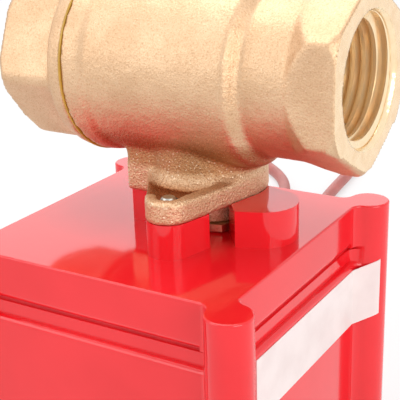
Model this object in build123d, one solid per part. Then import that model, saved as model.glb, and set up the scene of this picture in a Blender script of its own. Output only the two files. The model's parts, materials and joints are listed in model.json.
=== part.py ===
from build123d import *
import os
from math import acos, asin, atan2, cos, degrees, hypot, pi, radians, sin, sqrt, tan

# Miniature electric ball valve: a brass G1/2 ball valve on a red geared actuator.
# Millimetres and degrees. The origin is on the resting face, on the stem's axis;
# +X is the pipe's direction towards the body's own port, +Z is up.

# Brass valve
STEM_TO_RIGHT_END = 29.1
STEM_TO_LEFT_END = 33.0
PIPE_ABOVE_FACE = 26.9
PORT_THREAD_R = 10.48
PORT_THREAD_DEPTH = 12.5
PORT_CHAMFER = 0.7
PASSAGE_R = 7.0
BARREL_R = 15.8
BARREL_LEFT_R = 15.45
RIM_X = 12.4
RIDGE_X = -14.1
SEAM_X = -18.0
SEAM_R = 16.2
SHOULDER_X = -21.4
SHOULDER_R = 15.6
NECK_R = 13.6
HEX_FLATS = 27.5
HEX_LENGTH = 8.6
HEX_TAPER = 4.2
LEFT_HEX_FLATS = 26.4
LEFT_HEX_ROUND_R = 14.85
LEFT_HEX_TURN = -22.0
CAVITY_R = 12.0
CONNECTOR_THREAD_R = 13.2
CONNECTOR_REACH = 8.6
BALL_R = 11.0
BALL_BORE_R = 6.5
SEAT_R = 10.4
SEAT_PAST_BALL = 1.2
SEAT_OVER_BALL = 3.4
TRUNK_R = 10.0
TRUNK_BLOCK_X = 11.9
TRUNK_BLOCK_Y = 8.2
TRUNK_ROUND = 1.2
FLANGE_R = 10.3
FLANGE_THICKNESS = 4.4
FLANGE_ROUND = 0.8
EAR_R = 3.8
FRONT_EAR = (2.5, -16.84)
BACK_EAR = (-2.0, 13.45)
EAR_HOLE_R = 2.0
BOSS_R = 8.0
BOSS_DROP = 4.2

# Stem and its seals
STEM_R = 4.2
STEM_COLLAR_R = 5.6
STEM_COLLAR_HEIGHT = 2.2
STEM_SQUARE = 6.9
TANG_WIDTH = 9.0
TANG_THICKNESS = 3.9
TANG_REACH = 3.4
ORING_SECTION = 1.12
ORING_GROOVE = 1.4
ORING_SPACING = 2.2
WASHER_THICKNESS = 0.5
PACKING_R = 6.0
PACKING_HEIGHT = 2.0
NUT_FLATS = 15.6
NUT_TURN = 13.0
NUT_RIM_HEIGHT = 1.5
NUT_PLUG_HEIGHT = 2.9

# Actuator housing
ACTUATOR_HEIGHT = 46.0
BOX_OFFSET = (-4.4, -5.84)
WALL_HALF = 25.0
WALL_THICKNESS = 2.2
POST_OUTSET = 1.0
POST_R = 3.65
POST_BLEND = 2.0
BASE_SKIRT = 7.8
BASE_PLATE = 2.6
EDGE_ROUND = 0.35
SKIRT_ROUND = 1.4
COLLAR_HEIGHT = 5.8
COLLAR_BORE_R = 9.3
COLLAR_INSET = 0.8
SIDE_BLOCK = (12.6, -3.84)
SIDE_BLOCK_R = 5.8
SIDE_BLOCK_HEIGHT = 6.2
SLOT_LEFT = (9.0, -14.7)
SLOT_RIGHT = (10.8, -10.5)
COVER_STEP = 0.4
COVER_BAND = 2.4
COVER_BAND_INSET = 1.1
COVER_ROUND = 0.9
COVER_FLOOR = 2.4
PARTING_GAP = 0.6
LIP_PLAY = 0.2
LIP_THICKNESS = 1.0
LIP_HEIGHT = 2.0
GASKET_WIDTH = 1.1
COVER_SCREW_R = 1.3
COVER_SCREW_HEAD_R = 2.5
COVER_SCREW_HEAD = 2.0
COVER_SCREW_SINK = 2.6
COVER_SCREW_BITE = 5.0
COVER_SCREW_SPARE = 1.3
FLANGE_SCREW_R = 1.95
FLANGE_SCREW_HEAD_R = 3.1
FLANGE_SCREW_HEAD = 2.2

# Gear plate and gears
PLATE_DROP = 18.0
PLATE_THICKNESS = 1.6
PLATE_PLAY = 1.5
PLATE_BOSS_INSET = 3.8
PLATE_BOSS_R = 2.4
PLATE_SCREW_R = 0.95
PLATE_SCREW_HEAD = 1.2
PLATE_SCREW_BITE = 6.0
OUTPUT_MODULE = 0.7
SLOW_MODULE = 0.5
FAST_MODULE = 0.4
OUTPUT_TEETH = 42
THIRD_PINION_TEETH = 10
THIRD_WHEEL_TEETH = 42
SECOND_PINION_TEETH = 12
SECOND_WHEEL_TEETH = 40
FIRST_PINION_TEETH = 12
FIRST_WHEEL_TEETH = 32
MOTOR_PINION_TEETH = 10
THIRD_BEARING = 225.0
SECOND_BEARING = 0.0
FIRST_BEARING = 20.0
MOTOR_BEARING = -110.0
GEAR_PLAY = 0.14
PRESSURE_ANGLE = 20.0
WHEEL_WIDTH = 2.0
OUTPUT_WIDTH = 3.6
MESH_STEP = 3.4
FIRST_WHEEL_LIFT = 0.8
PIN_R = 1.0
PIN_SPIN_PLAY = 0.05
HUB_R = 6.0
HUB_BELOW_FACE = 0.2
SHAFT_R = 2.5
SOCKET_PLAY = 0.05
CAM_R = 4.6
CAM_LOBE_R = 6.5
CAM_LOBE_ANGLE = 40.0
CAM_THICKNESS = 4.0
CAM_DROP = 1.2

# Motor
MOTOR_R = 7.7
MOTOR_FLATS = 12.0
MOTOR_OVER_BOARD = 0.9
MOTOR_WALL = 0.5
MOTOR_CAP = 1.7
MOTOR_NOSE_R = 3.0
MOTOR_NOSE = 1.2
MOTOR_SHAFT_R = 0.75
ARMATURE_R = 4.4
ARMATURE_PAST_HALF = 0.9
MAGNET_THICKNESS = 1.2
MOTOR_SCREW_R = 0.8
MOTOR_SCREW_OFFSET = 5.0
MOTOR_SCREW_TURN = 20.0

# Limit switches
SWITCH_LENGTH = 12.8
SWITCH_DEPTH = 6.5
SWITCH_THICKNESS = 5.8
SWITCH_FROM_AXIS = 7.6
LEVER_THICKNESS = 0.3
LEVER_WIDTH = 3.4
LEVER_STANDOFF = 1.0
LEVER_LENGTH = 11.6
LEVER_PIVOT_R = 0.4
LEVER_EAR = 1.6
LEVER_EAR_THICKNESS = 0.9
LEVER_PLUNGER_GAP = 0.08
PLUNGER_R = 0.8
PLUNGER_FROM_PIVOT = 3.8
PLUNGER_BORE = 2.0
SWITCH_SCREW_SPACING = 6.5
SWITCH_SCREW_R = 0.9
SWITCH_SCREW_INSET = 1.6
SWITCH_WIRE_R = 0.45
SWITCH_TERMINAL = (0.5, 1.3, 3.0)
SWITCH_TERMINAL_SPACING = 5.0
SWITCH_TERMINAL_LIFT = 1.4

# Circuit board
BOARD_PLAY = 1.8
BOARD_THICKNESS = 1.6
BOARD_LIFT = 2.0
BOARD_BOSS_INSET = 4.0
BOARD_BOSS_R = 2.2
BOARD_SCREW_R = 0.78
BOARD_SCREW_HEAD_R = 1.7
BOARD_SCREW_HEAD = 1.0
BOARD_SCREW_BITE = 2.0
RELAY = (15.0, 10.0, 10.5)
RELAY_AT = (-16.0, -17.4)
CAPACITOR_R = 3.1
CAPACITOR_HEIGHT = 9.0
CAPACITOR_AT = (-5.2, -21.5)
TERMINAL_BLOCK = (10.0, 6.0, 9.0)
TERMINAL_BLOCK_FROM_WALL = 4.4
TERMINAL_ENTRY = 2.0
DRIVER_CHIP = (8.0, 5.0, 1.6)
DRIVER_AT = (4.0, -2.0)
RESISTOR = (3.2, 1.6, 0.7)
RESISTORS_FROM = (-6.0, 5.0)
RESISTOR_PITCH = 4.4
DIODE = (2.0, 4.2, 1.8)
DIODES_FROM = (-22.0, -6.0)
DIODE_PITCH = 3.4

# Cable, its grommet and its bare ends
CABLE_R = 1.8
CABLE_AT = (-13.0, 10.0)
GROMMET_R = 3.5
GROMMET_FLANGE_R = 5.0
GROMMET_FLANGE = 1.5
GROMMET_INNER = 1.4
BOOT_LENGTH = 6.0
BOOT_TIP_R = 2.4
LEAD_R = 0.7
LEAD_LENGTH = 14.0
LEAD_SPREAD = 14.0
TINNED_R = 0.45
TINNED_LENGTH = 5.0

# Label
LABEL_TOP_BELOW_FACE = 12.0
LABEL_HEIGHT = 10.8
LABEL_THICKNESS = 0.12
LABEL_FROM_Y = -17.0
LABEL_ENDS_ON_POST = -30.0
LABEL_END_RISE = 1.6
LABEL_POST_STEPS = 8

# Clearances
RUNNING = 0.05
FIT = 0.02

# Heights and places worked out from the sizes above
FACE_Z = ACTUATOR_HEIGHT
PIPE_Z = FACE_Z + PIPE_ABOVE_FACE
FLANGE_Z = FACE_Z + COLLAR_HEIGHT
FLANGE_TOP_Z = FLANGE_Z + FLANGE_THICKNESS
BOSS_Z = FLANGE_Z - BOSS_DROP
CEILING_Z = FACE_Z - BASE_PLATE
SKIRT_Z = FACE_Z - BASE_SKIRT
COVER_TOP_Z = SKIRT_Z - PARTING_GAP
LEDGE_Z = COVER_TOP_Z - COVER_BAND
PLATE_TOP = CEILING_Z - PLATE_DROP
PLATE_Z = PLATE_TOP - PLATE_THICKNESS
BOARD_Z = COVER_FLOOR + BOARD_LIFT
BOARD_TOP_Z = BOARD_Z + BOARD_THICKNESS
BOX_X, BOX_Y = BOX_OFFSET
INNER_HALF = WALL_HALF - WALL_THICKNESS
COVER_HALF = WALL_HALF + COVER_STEP
COVER_BAND_HALF = COVER_HALF - COVER_BAND_INSET
GASKET_HALF = INNER_HALF + GASKET_WIDTH
LIP_HALF = INNER_HALF - LIP_PLAY
PLATE_HALF = INNER_HALF - PLATE_PLAY
PLATE_BOSS_HALF = INNER_HALF - PLATE_BOSS_INSET
BOARD_HALF = INNER_HALF - BOARD_PLAY
BOARD_BOSS_HALF = INNER_HALF - BOARD_BOSS_INSET
POST_HALF = WALL_HALF + POST_OUTSET
COVER_SCREW_LENGTH = COVER_TOP_Z + COVER_SCREW_BITE - COVER_SCREW_SINK
FIRST_WHEEL_Z = PLATE_TOP + FIRST_WHEEL_LIFT
SECOND_WHEEL_Z = FIRST_WHEEL_Z + MESH_STEP + 0.2
THIRD_WHEEL_Z = SECOND_WHEEL_Z + MESH_STEP
OUTPUT_GEAR_Z = THIRD_WHEEL_Z + MESH_STEP + 0.2
OUTPUT_GEAR_TOP_Z = OUTPUT_GEAR_Z + OUTPUT_WIDTH
SOCKET_FLOOR_Z = OUTPUT_GEAR_Z + 1.6
STEM_FOOT_Z = SOCKET_FLOOR_Z + 1.2
HUB_TOP_Z = FACE_Z - HUB_BELOW_FACE
NUT_Z = BOSS_Z - NUT_RIM_HEIGHT
PACKING_TOP_Z = BOSS_Z + NUT_PLUG_HEIGHT + PACKING_HEIGHT
STEM_COLLAR_Z = PIPE_Z - BALL_R - 3.9
SEAT_BACK_X = BALL_R + SEAT_PAST_BALL
SEAT_FRONT_X = BALL_R - SEAT_OVER_BALL
CAM_TOP_Z = PLATE_Z - CAM_DROP
SWITCH_Z = PLATE_Z - SWITCH_THICKNESS
MOTOR_LENGTH = PLATE_Z - MOTOR_CAP - MOTOR_OVER_BOARD - BOARD_TOP_Z
ARMATURE_LENGTH = MOTOR_LENGTH / 2 + ARMATURE_PAST_HALF
CABLE_X, CABLE_Z = CABLE_AT
BACK_WALL_Y = BOX_Y + COVER_HALF
BACK_INNER_Y = BOX_Y + INNER_HALF
BOOT_Y = BACK_WALL_Y + GROMMET_FLANGE + BOOT_LENGTH
CABLE_FLOOR_Z = CABLE_R + 0.1

# The free cable's route, from the boot to its bare ends, lying on the resting plane
CABLE_ROUTE = [
    (CABLE_X, BOOT_Y, CABLE_Z),
    (CABLE_X, 37.0, CABLE_Z),
    (-14.6, 56.0, 4.4),
    (-18.6, 73.0, CABLE_FLOOR_Z),
    (-25.4, 94.0, CABLE_FLOOR_Z),
    (-32.6, 116.0, CABLE_FLOOR_Z),
    (-36.2, 138.0, CABLE_FLOOR_Z),
    (-38.4, 160.0, CABLE_FLOOR_Z),
    (-45.5, 179.0, CABLE_FLOOR_Z),
    (-61.0, 187.0, CABLE_FLOOR_Z),
    (-76.5, 180.0, CABLE_FLOOR_Z),
    (-80.0, 164.5, CABLE_FLOOR_Z),
    (-69.0, 152.5, CABLE_FLOOR_Z),
    (-55.0, 140.5, CABLE_FLOOR_Z),
    (-46.6, 124.5, CABLE_FLOOR_Z),
    (-44.0, 104.0, CABLE_FLOOR_Z),
    (-40.0, 84.0, CABLE_FLOOR_Z),
    (-39.0, 66.0, CABLE_FLOOR_Z),
]


def place(start, reach, bearing):
    """The point at a distance and bearing from another."""
    return (start[0] + reach * cos(radians(bearing)), start[1] + reach * sin(radians(bearing)))


def centre_distance(module, teeth, other_teeth):
    """How far apart two meshed gears turn."""
    return module * (teeth + other_teeth) / 2


OUTPUT_AT = (0.0, 0.0)
THIRD_REACH = centre_distance(OUTPUT_MODULE, OUTPUT_TEETH, THIRD_PINION_TEETH)
SECOND_REACH = centre_distance(SLOW_MODULE, THIRD_WHEEL_TEETH, SECOND_PINION_TEETH)
FIRST_REACH = centre_distance(FAST_MODULE, SECOND_WHEEL_TEETH, FIRST_PINION_TEETH)
MOTOR_REACH = centre_distance(FAST_MODULE, FIRST_WHEEL_TEETH, MOTOR_PINION_TEETH)
THIRD_AT = place(OUTPUT_AT, THIRD_REACH, THIRD_BEARING)
SECOND_AT = place(THIRD_AT, SECOND_REACH, SECOND_BEARING)
FIRST_AT = place(SECOND_AT, FIRST_REACH, FIRST_BEARING)
MOTOR_AT = place(FIRST_AT, MOTOR_REACH, MOTOR_BEARING)


# Small shapes that repeat

def disc(radius, height, at=(0, 0), z=0.0):
    """An upright cylinder on its foot."""
    return Pos(at[0], at[1], z) * Cylinder(radius, height, align=(Align.CENTER, Align.CENTER, Align.MIN))


def ring(outer, inner, height, at=(0, 0), z=0.0):
    """An upright tube on its foot."""
    return disc(outer, height, at, z) - disc(inner, height, at, z)


def block(width, depth, height, at=(0, 0), z=0.0):
    """An upright block, centred in plan, on its foot."""
    return Pos(at[0], at[1], z) * Box(width, depth, height, align=(Align.CENTER, Align.CENTER, Align.MIN))


def prism(outline, height, z=0.0):
    """A flat outline drawn upwards from a height."""
    return Pos(0, 0, z) * extrude(outline, height)


def anticlockwise(points):
    """The same outline, always running the same way round."""
    area = sum(a[0] * b[1] - b[0] * a[1] for a, b in zip(points, points[1:] + points[:1]))
    return points if area > 0 else points[::-1]


def turned_on_pipe(points):
    """A solid of revolution about the pipe's axis, from (x, radius) points."""
    profile = make_face(Plane.XZ * Polyline(*anticlockwise(points), close=True))
    return Pos(0, 0, PIPE_Z) * revolve(profile, Axis.X)


def turned_on_y(points, x, z):
    """A solid of revolution about a line along Y, from (y, radius) points."""
    profile = make_face(Polyline(*anticlockwise([(radius, y) for y, radius in points]), close=True))
    return Pos(x, 0, z) * revolve(profile, Axis.Y)


def square_outline(half, corner=0.0):
    """The actuator's square in plan, about its own centre."""
    sketch = Rectangle(2 * half, 2 * half)
    if corner:
        sketch = fillet(sketch.vertices(), corner)
    return Pos(BOX_X, BOX_Y) * sketch


def posts_outline(half):
    """The actuator's outline: a square with a round post at each corner, blended into the walls."""
    sketch = Rectangle(2 * half, 2 * half)
    sketch += [Pos(x, y) * Circle(POST_R) for x, y in corners(POST_HALF)]
    sketch = Sketch() + sketch.faces()
    notches = [v for v in sketch.vertices() if max(abs(v.X), abs(v.Y)) < half + 0.01]
    sketch = fillet(notches, POST_BLEND)
    return Pos(BOX_X, BOX_Y) * sketch


def corners(half):
    """Four points of a square about the origin."""
    return [(x, y) for x in (-half, half) for y in (-half, half)]


def box_corners(half):
    """Four points of a square about the actuator's centre."""
    return [(BOX_X + x, BOX_Y + y) for x, y in corners(half)]


def hull(*circles):
    """The outline stretched round circles given as (centre, radius)."""
    edges = [edge for at, radius in circles for edge in (Pos(*at) * Circle(radius)).edges()]
    return make_hull(edges)


# Brass valve

def trunk_outline():
    """The plan of the body's trunk between flange and barrel: round, with a square left shoulder."""
    shoulder = Pos(-TRUNK_BLOCK_X / 2, 0) * Rectangle(TRUNK_BLOCK_X, 2 * TRUNK_BLOCK_Y)
    shoulder = fillet(shoulder.vertices().group_by(Axis.X)[0], TRUNK_ROUND)
    return Circle(TRUNK_R) + shoulder


def flange_outline(trim=0.0):
    """The plan of the flange: a round plate stretched out to two ears."""
    front = hull((OUTPUT_AT, FLANGE_R - trim), (FRONT_EAR, EAR_R - trim))
    back = hull((OUTPUT_AT, FLANGE_R - trim), (BACK_EAR, EAR_R - trim))
    return front + back


def port(x, out):
    """The threaded mouth of a port and its passage, as the space to take away."""
    mouth = PORT_THREAD_R + PORT_CHAMFER
    inner = x - out * PORT_THREAD_DEPTH
    return turned_on_pipe([
        (x, 0), (x, mouth), (x - out * PORT_CHAMFER, PORT_THREAD_R), (inner, PORT_THREAD_R),
        (inner - out * 2.0, PASSAGE_R), (0, PASSAGE_R), (0, 0),
    ])


def valve_body():
    """The cast body: barrel, right hexagon, trunk, flange and stem boss."""
    hex_x = STEM_TO_RIGHT_END - HEX_LENGTH
    corner_r = HEX_FLATS / sqrt(3)
    barrel = turned_on_pipe([
        (SEAM_X, 0), (SEAM_X, SEAM_R), (RIDGE_X - 0.5, SEAM_R - 0.3), (RIDGE_X, BARREL_LEFT_R),
        (RIM_X - 0.7, BARREL_R), (RIM_X, BARREL_R - 0.7), (RIM_X + 0.5, NECK_R + 0.7), (RIM_X + 1.2, NECK_R),
        (hex_x + 1.0, NECK_R), (hex_x + 1.0, 0),
    ])
    bar = Pos(hex_x, 0, PIPE_Z) * extrude(Plane.YZ * RegularPolygon(corner_r, 6, rotation=90), HEX_LENGTH)
    turned_ends = turned_on_pipe([
        (hex_x, 0), (hex_x, NECK_R - 0.3), (hex_x + HEX_TAPER, corner_r), (STEM_TO_RIGHT_END - 1.2, corner_r),
        (STEM_TO_RIGHT_END, corner_r - 1.5), (STEM_TO_RIGHT_END, 0),
    ])
    trunk = prism(trunk_outline(), PIPE_ABOVE_FACE - COLLAR_HEIGHT - CAVITY_R + 5.0, FLANGE_Z)
    flange = prism(flange_outline(), FLANGE_THICKNESS, FLANGE_Z)
    flange = fillet(flange.edges().group_by(Axis.Z)[-1], FLANGE_ROUND)
    body = barrel + (bar & turned_ends) + trunk + flange + disc(BOSS_R, BOSS_DROP, z=BOSS_Z)
    cavity = turned_on_pipe([
        (SEAM_X, 0), (SEAM_X, CONNECTOR_THREAD_R), (-CONNECTOR_REACH, CONNECTOR_THREAD_R),
        (-CONNECTOR_REACH, CAVITY_R), (9.2, CAVITY_R), (9.2, SEAT_R + FIT), (SEAT_BACK_X, SEAT_R + FIT),
        (SEAT_BACK_X, 0),
    ])
    body -= cavity + port(STEM_TO_RIGHT_END, 1)
    collar_top = PIPE_Z - CAVITY_R + 1.0
    body -= disc(STEM_R + RUNNING, collar_top - BOSS_Z, z=BOSS_Z)
    washer_z = STEM_COLLAR_Z - WASHER_THICKNESS
    body -= disc(STEM_COLLAR_R + 0.2, collar_top - washer_z, z=washer_z)
    body -= disc(PACKING_R + RUNNING, PACKING_TOP_Z - BOSS_Z, z=BOSS_Z)
    for ear in (FRONT_EAR, BACK_EAR):
        body -= disc(EAR_HOLE_R, FLANGE_THICKNESS, ear, FLANGE_Z)
    return body


def end_connector():
    """The left port, screwed into the body, with its hexagon and shouldered ring."""
    length = STEM_TO_LEFT_END + SHOULDER_X
    ring_and_spigot = turned_on_pipe([
        (SHOULDER_X - 0.4, 0), (SHOULDER_X - 0.4, LEFT_HEX_FLATS / 2), (SHOULDER_X, SHOULDER_R - 0.3),
        (SHOULDER_X + 0.3, SHOULDER_R), (SEAM_X - 0.3, SEAM_R), (SEAM_X - 0.3, CONNECTOR_THREAD_R - RUNNING),
        (-CONNECTOR_REACH - 0.1, CONNECTOR_THREAD_R - RUNNING), (-CONNECTOR_REACH - 0.1, 0),
    ])
    outline = Rot(0, 0, LEFT_HEX_TURN) * RegularPolygon(LEFT_HEX_FLATS / sqrt(3), 6, rotation=90)
    bar = Pos(-STEM_TO_LEFT_END, 0, PIPE_Z) * extrude(Plane.YZ * outline, length)
    bar &= turned_on_pipe([
        (-STEM_TO_LEFT_END, 0), (-STEM_TO_LEFT_END, LEFT_HEX_ROUND_R - 1.3),
        (-STEM_TO_LEFT_END + 1.0, LEFT_HEX_ROUND_R), (SHOULDER_X, LEFT_HEX_ROUND_R), (SHOULDER_X, 0),
    ])
    pocket = turned_on_pipe([
        (-CONNECTOR_REACH, 0), (-CONNECTOR_REACH, SEAT_R + FIT), (-SEAT_BACK_X, SEAT_R + FIT),
        (-SEAT_BACK_X, 0),
    ])
    return ring_and_spigot + bar - port(-STEM_TO_LEFT_END, -1) - pocket


def joint_seal():
    """The ring of thread sealant squeezed into the seam between body and connector."""
    return turned_on_pipe([
        (SEAM_X - 0.3, CONNECTOR_THREAD_R), (SEAM_X - 0.3, SEAM_R + 0.02), (SEAM_X, SEAM_R + 0.02),
        (SEAM_X, CONNECTOR_THREAD_R),
    ])


def ball():
    """The ball, closed at rest: its bore lies across the pipe and its slot along it."""
    shape = Pos(0, 0, PIPE_Z) * Sphere(BALL_R)
    shape -= Pos(0, 0, PIPE_Z) * Rot(90, 0, 0) * Cylinder(BALL_BORE_R, 3 * BALL_R)
    tang_top = STEM_COLLAR_Z + STEM_COLLAR_HEIGHT + TANG_REACH
    slot_width = TANG_THICKNESS + 2 * SOCKET_PLAY
    return shape - block(3 * BALL_R, slot_width, 2 * BALL_R, z=tang_top + 0.2 - 2 * BALL_R)


def ball_seat():
    """The left seat ring behind the ball, with a spherical face."""
    seat = turned_on_pipe([
        (-SEAT_FRONT_X, PASSAGE_R), (-SEAT_FRONT_X, SEAT_R - 1.0), (-SEAT_FRONT_X - 1.0, SEAT_R),
        (-SEAT_BACK_X, SEAT_R), (-SEAT_BACK_X, PASSAGE_R),
    ])
    return seat - Pos(0, 0, PIPE_Z) * Sphere(BALL_R + RUNNING)


def oring_heights():
    """The middle heights of the stem's two O-rings."""
    top = STEM_COLLAR_Z - WASHER_THICKNESS - ORING_GROOVE
    return [top, top - ORING_SPACING]


def stem():
    """The stem: a square foot, a grooved shaft, a collar and the tang that turns the ball."""
    square_top = NUT_Z - 0.1
    shape = block(STEM_SQUARE, STEM_SQUARE, square_top - STEM_FOOT_Z, z=STEM_FOOT_Z)
    shape &= disc(STEM_SQUARE * 0.66, NUT_Z, z=STEM_FOOT_Z)
    shape += disc(STEM_R, STEM_COLLAR_Z - square_top, z=square_top)
    shape += disc(STEM_COLLAR_R, STEM_COLLAR_HEIGHT, z=STEM_COLLAR_Z)
    tang = block(TANG_WIDTH, TANG_THICKNESS, TANG_REACH, z=STEM_COLLAR_Z + STEM_COLLAR_HEIGHT)
    shape += tang & disc(STEM_COLLAR_R, 3 * TANG_REACH, z=STEM_COLLAR_Z)
    for z in oring_heights():
        shape -= ring(STEM_R + 1, STEM_R - ORING_SECTION, ORING_GROOVE, z=z - ORING_GROOVE / 2)
    return shape


def stem_orings():
    """Two rings in the stem's grooves."""
    middle_r = STEM_R + FIT - ORING_SECTION / 2
    return [Pos(0, 0, z) * Torus(middle_r, ORING_SECTION / 2) for z in oring_heights()]


def thrust_washer():
    """The low-friction washer under the stem's collar."""
    return ring(STEM_COLLAR_R, STEM_R + RUNNING, WASHER_THICKNESS - FIT, z=STEM_COLLAR_Z - WASHER_THICKNESS)


def packing_nut():
    """The hexagonal nut that presses the packing up into the boss."""
    rim = prism(Rot(0, 0, NUT_TURN) * RegularPolygon(NUT_FLATS / sqrt(3), 6), NUT_RIM_HEIGHT, NUT_Z)
    rim = chamfer(rim.edges().group_by(Axis.Z)[0], 0.3)
    return rim + disc(PACKING_R, NUT_PLUG_HEIGHT, z=BOSS_Z) - disc(STEM_R + RUNNING, 10, z=NUT_Z)


def packing_ring():
    """The packing round the stem."""
    return ring(PACKING_R, STEM_R + RUNNING, PACKING_HEIGHT, z=BOSS_Z + NUT_PLUG_HEIGHT)


def flange_screws():
    """Two screws from inside the actuator into the flange's ears."""
    screws = []
    for ear in (FRONT_EAR, BACK_EAR):
        head = disc(FLANGE_SCREW_HEAD_R, FLANGE_SCREW_HEAD, ear, CEILING_Z - FLANGE_SCREW_HEAD)
        shank = disc(FLANGE_SCREW_R, FLANGE_TOP_Z - 0.8 - CEILING_Z, ear, CEILING_Z)
        drive = block(0.8, 3.6, 0.9, ear, CEILING_Z - FLANGE_SCREW_HEAD)
        cross = block(3.6, 0.8, 0.9, ear, CEILING_Z - FLANGE_SCREW_HEAD)
        screws.append(head + shank - drive - cross)
    return screws


# Actuator housing

def slot_outline():
    """The plan of the open slot through the collar's front, from outside into its bore."""
    middle = ((SLOT_LEFT[0] + SLOT_RIGHT[0]) / 2, (SLOT_LEFT[1] + SLOT_RIGHT[1]) / 2)
    reach = hypot(*middle)
    inward = (-middle[0] / reach, -middle[1] / reach)
    cut = [(p[0] + k * inward[0], p[1] + k * inward[1]) for k, p in
           ((-4, SLOT_LEFT), (-4, SLOT_RIGHT), (9, SLOT_RIGHT), (9, SLOT_LEFT))]
    return make_face(Polyline(*cut, close=True))


def side_block_outline():
    """The plan of the solid block on the collar's right."""
    return hull((SIDE_BLOCK, SIDE_BLOCK_R), (SLOT_RIGHT, 0.15), ((6.0, 0.0), 4.0))


def collar_outline():
    """The plan of the raised collar under the flange, with its open slot."""
    left = Pos((-TRUNK_BLOCK_X + COLLAR_INSET) / 2, 0) * Rectangle(
        TRUNK_BLOCK_X - COLLAR_INSET, 2 * (TRUNK_BLOCK_Y - COLLAR_INSET))
    outline = flange_outline(0.1) + left + side_block_outline() - Circle(COLLAR_BORE_R)
    return outline - slot_outline()


def wall_run(half):
    """Half the straight run of a wall, between the blends of its two posts."""
    across = POST_BLEND + half - POST_HALF
    return POST_HALF - sqrt((POST_R + POST_BLEND) ** 2 - across ** 2)


def skirt_rounding():
    """What is taken off the lower outer edge of the skirt's four walls."""
    length = 2 * wall_run(WALL_HALF)
    strip = Pos(0, -WALL_HALF, SKIRT_Z) * Box(length, 2 * SKIRT_ROUND, 2 * SKIRT_ROUND)
    middle = Pos(0, SKIRT_ROUND - WALL_HALF, SKIRT_Z + SKIRT_ROUND)
    strip -= middle * Rot(0, 90, 0) * Cylinder(SKIRT_ROUND, length)
    return [Pos(BOX_X, BOX_Y, 0) * Rot(0, 0, turn) * strip for turn in (0, 90, 180, 270)]


def base_housing():
    """The shell next to the valve: flat face, skirt, corner posts, collar and inner bosses."""
    shell = prism(posts_outline(WALL_HALF), BASE_SKIRT, SKIRT_Z)
    shell = fillet(shell.edges().group_by(Axis.Z)[-1], EDGE_ROUND)
    shell -= skirt_rounding()
    shell -= prism(square_outline(INNER_HALF, 2.0), CEILING_Z - SKIRT_Z, SKIRT_Z)
    shell += [disc(POST_R, PARTING_GAP + 1.0, at, COVER_TOP_Z) for at in box_corners(POST_HALF)]
    shell += prism(collar_outline(), COLLAR_HEIGHT + 0.5, FACE_Z - 0.5)
    beside_flange = side_block_outline() - slot_outline() - flange_outline(-0.1)
    shell += prism(beside_flange, SIDE_BLOCK_HEIGHT - COLLAR_HEIGHT + 0.5, FLANGE_Z - 0.5)
    for at in box_corners(PLATE_BOSS_HALF):
        shell += disc(PLATE_BOSS_R, PLATE_DROP + 0.5, at, PLATE_TOP)
    shell += disc(PIN_R + 1.4, 2.3, THIRD_AT, CEILING_Z - 1.8)
    for at in box_corners(PLATE_BOSS_HALF):
        shell -= disc(PLATE_SCREW_R + FIT, PLATE_SCREW_BITE + 2.0, at, PLATE_TOP)
    for at in box_corners(POST_HALF):
        shell -= disc(COVER_SCREW_R + FIT, COVER_SCREW_BITE + COVER_SCREW_SPARE, at, COVER_TOP_Z)
    for ear in (FRONT_EAR, BACK_EAR):
        shell -= disc(FLANGE_SCREW_R + 0.15, FLANGE_Z - CEILING_Z, ear, CEILING_Z)
    shell -= disc(PIN_R + FIT, 3.0, THIRD_AT, CEILING_Z - 1.8)
    return shell - disc(HUB_R + RUNNING, BASE_PLATE, z=CEILING_Z)


def cover_housing():
    """The deep shell that the valve stands on, with a ledge under the parting gap."""
    shell = prism(posts_outline(COVER_HALF), LEDGE_Z)
    shell = fillet(shell.edges().group_by(Axis.Z)[-1], COVER_ROUND)
    shell = fillet(shell.edges().group_by(Axis.Z)[0], 2 * EDGE_ROUND)
    shell += prism(posts_outline(COVER_BAND_HALF), COVER_TOP_Z - LEDGE_Z + COVER_ROUND, LEDGE_Z - COVER_ROUND)
    shell -= prism(square_outline(INNER_HALF, 2.0), COVER_TOP_Z - COVER_FLOOR, COVER_FLOOR)
    lip_inner = LIP_HALF - LIP_THICKNESS
    lip = prism(square_outline(INNER_HALF + 0.3, 2.0), LIP_HEIGHT, COVER_TOP_Z - LIP_HEIGHT)
    lip += prism(square_outline(LIP_HALF, 1.9), 2 * LIP_HEIGHT, COVER_TOP_Z - LIP_HEIGHT)
    shell += lip - prism(square_outline(lip_inner, 1.0), 2 * LIP_HEIGHT, COVER_TOP_Z - LIP_HEIGHT)
    for at in box_corners(BOARD_BOSS_HALF):
        shell += disc(BOARD_BOSS_R, BOARD_LIFT + 0.4, at, COVER_FLOOR - 0.4)
    for at in box_corners(BOARD_BOSS_HALF):
        shell -= disc(BOARD_SCREW_R + FIT, BOARD_SCREW_BITE + 0.2, at, BOARD_Z - BOARD_SCREW_BITE - 0.2)
    for at in box_corners(POST_HALF):
        shell -= disc(COVER_SCREW_R + 0.3, COVER_TOP_Z, at)
        shell -= disc(COVER_SCREW_HEAD_R + 0.2, COVER_SCREW_SINK, at)
    hole = Pos(CABLE_X, BACK_WALL_Y, CABLE_Z) * Rot(90, 0, 0) * Cylinder(GROMMET_R, 4 * WALL_THICKNESS)
    return shell - hole


def housing_gasket():
    """The flat gasket in the parting gap, just inside the walls."""
    outline = square_outline(GASKET_HALF) - square_outline(INNER_HALF + 0.1, 2.0)
    outline -= [Pos(*at) * Circle(POST_R + FIT) for at in box_corners(POST_HALF)]
    return prism(outline, PARTING_GAP, COVER_TOP_Z)


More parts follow.
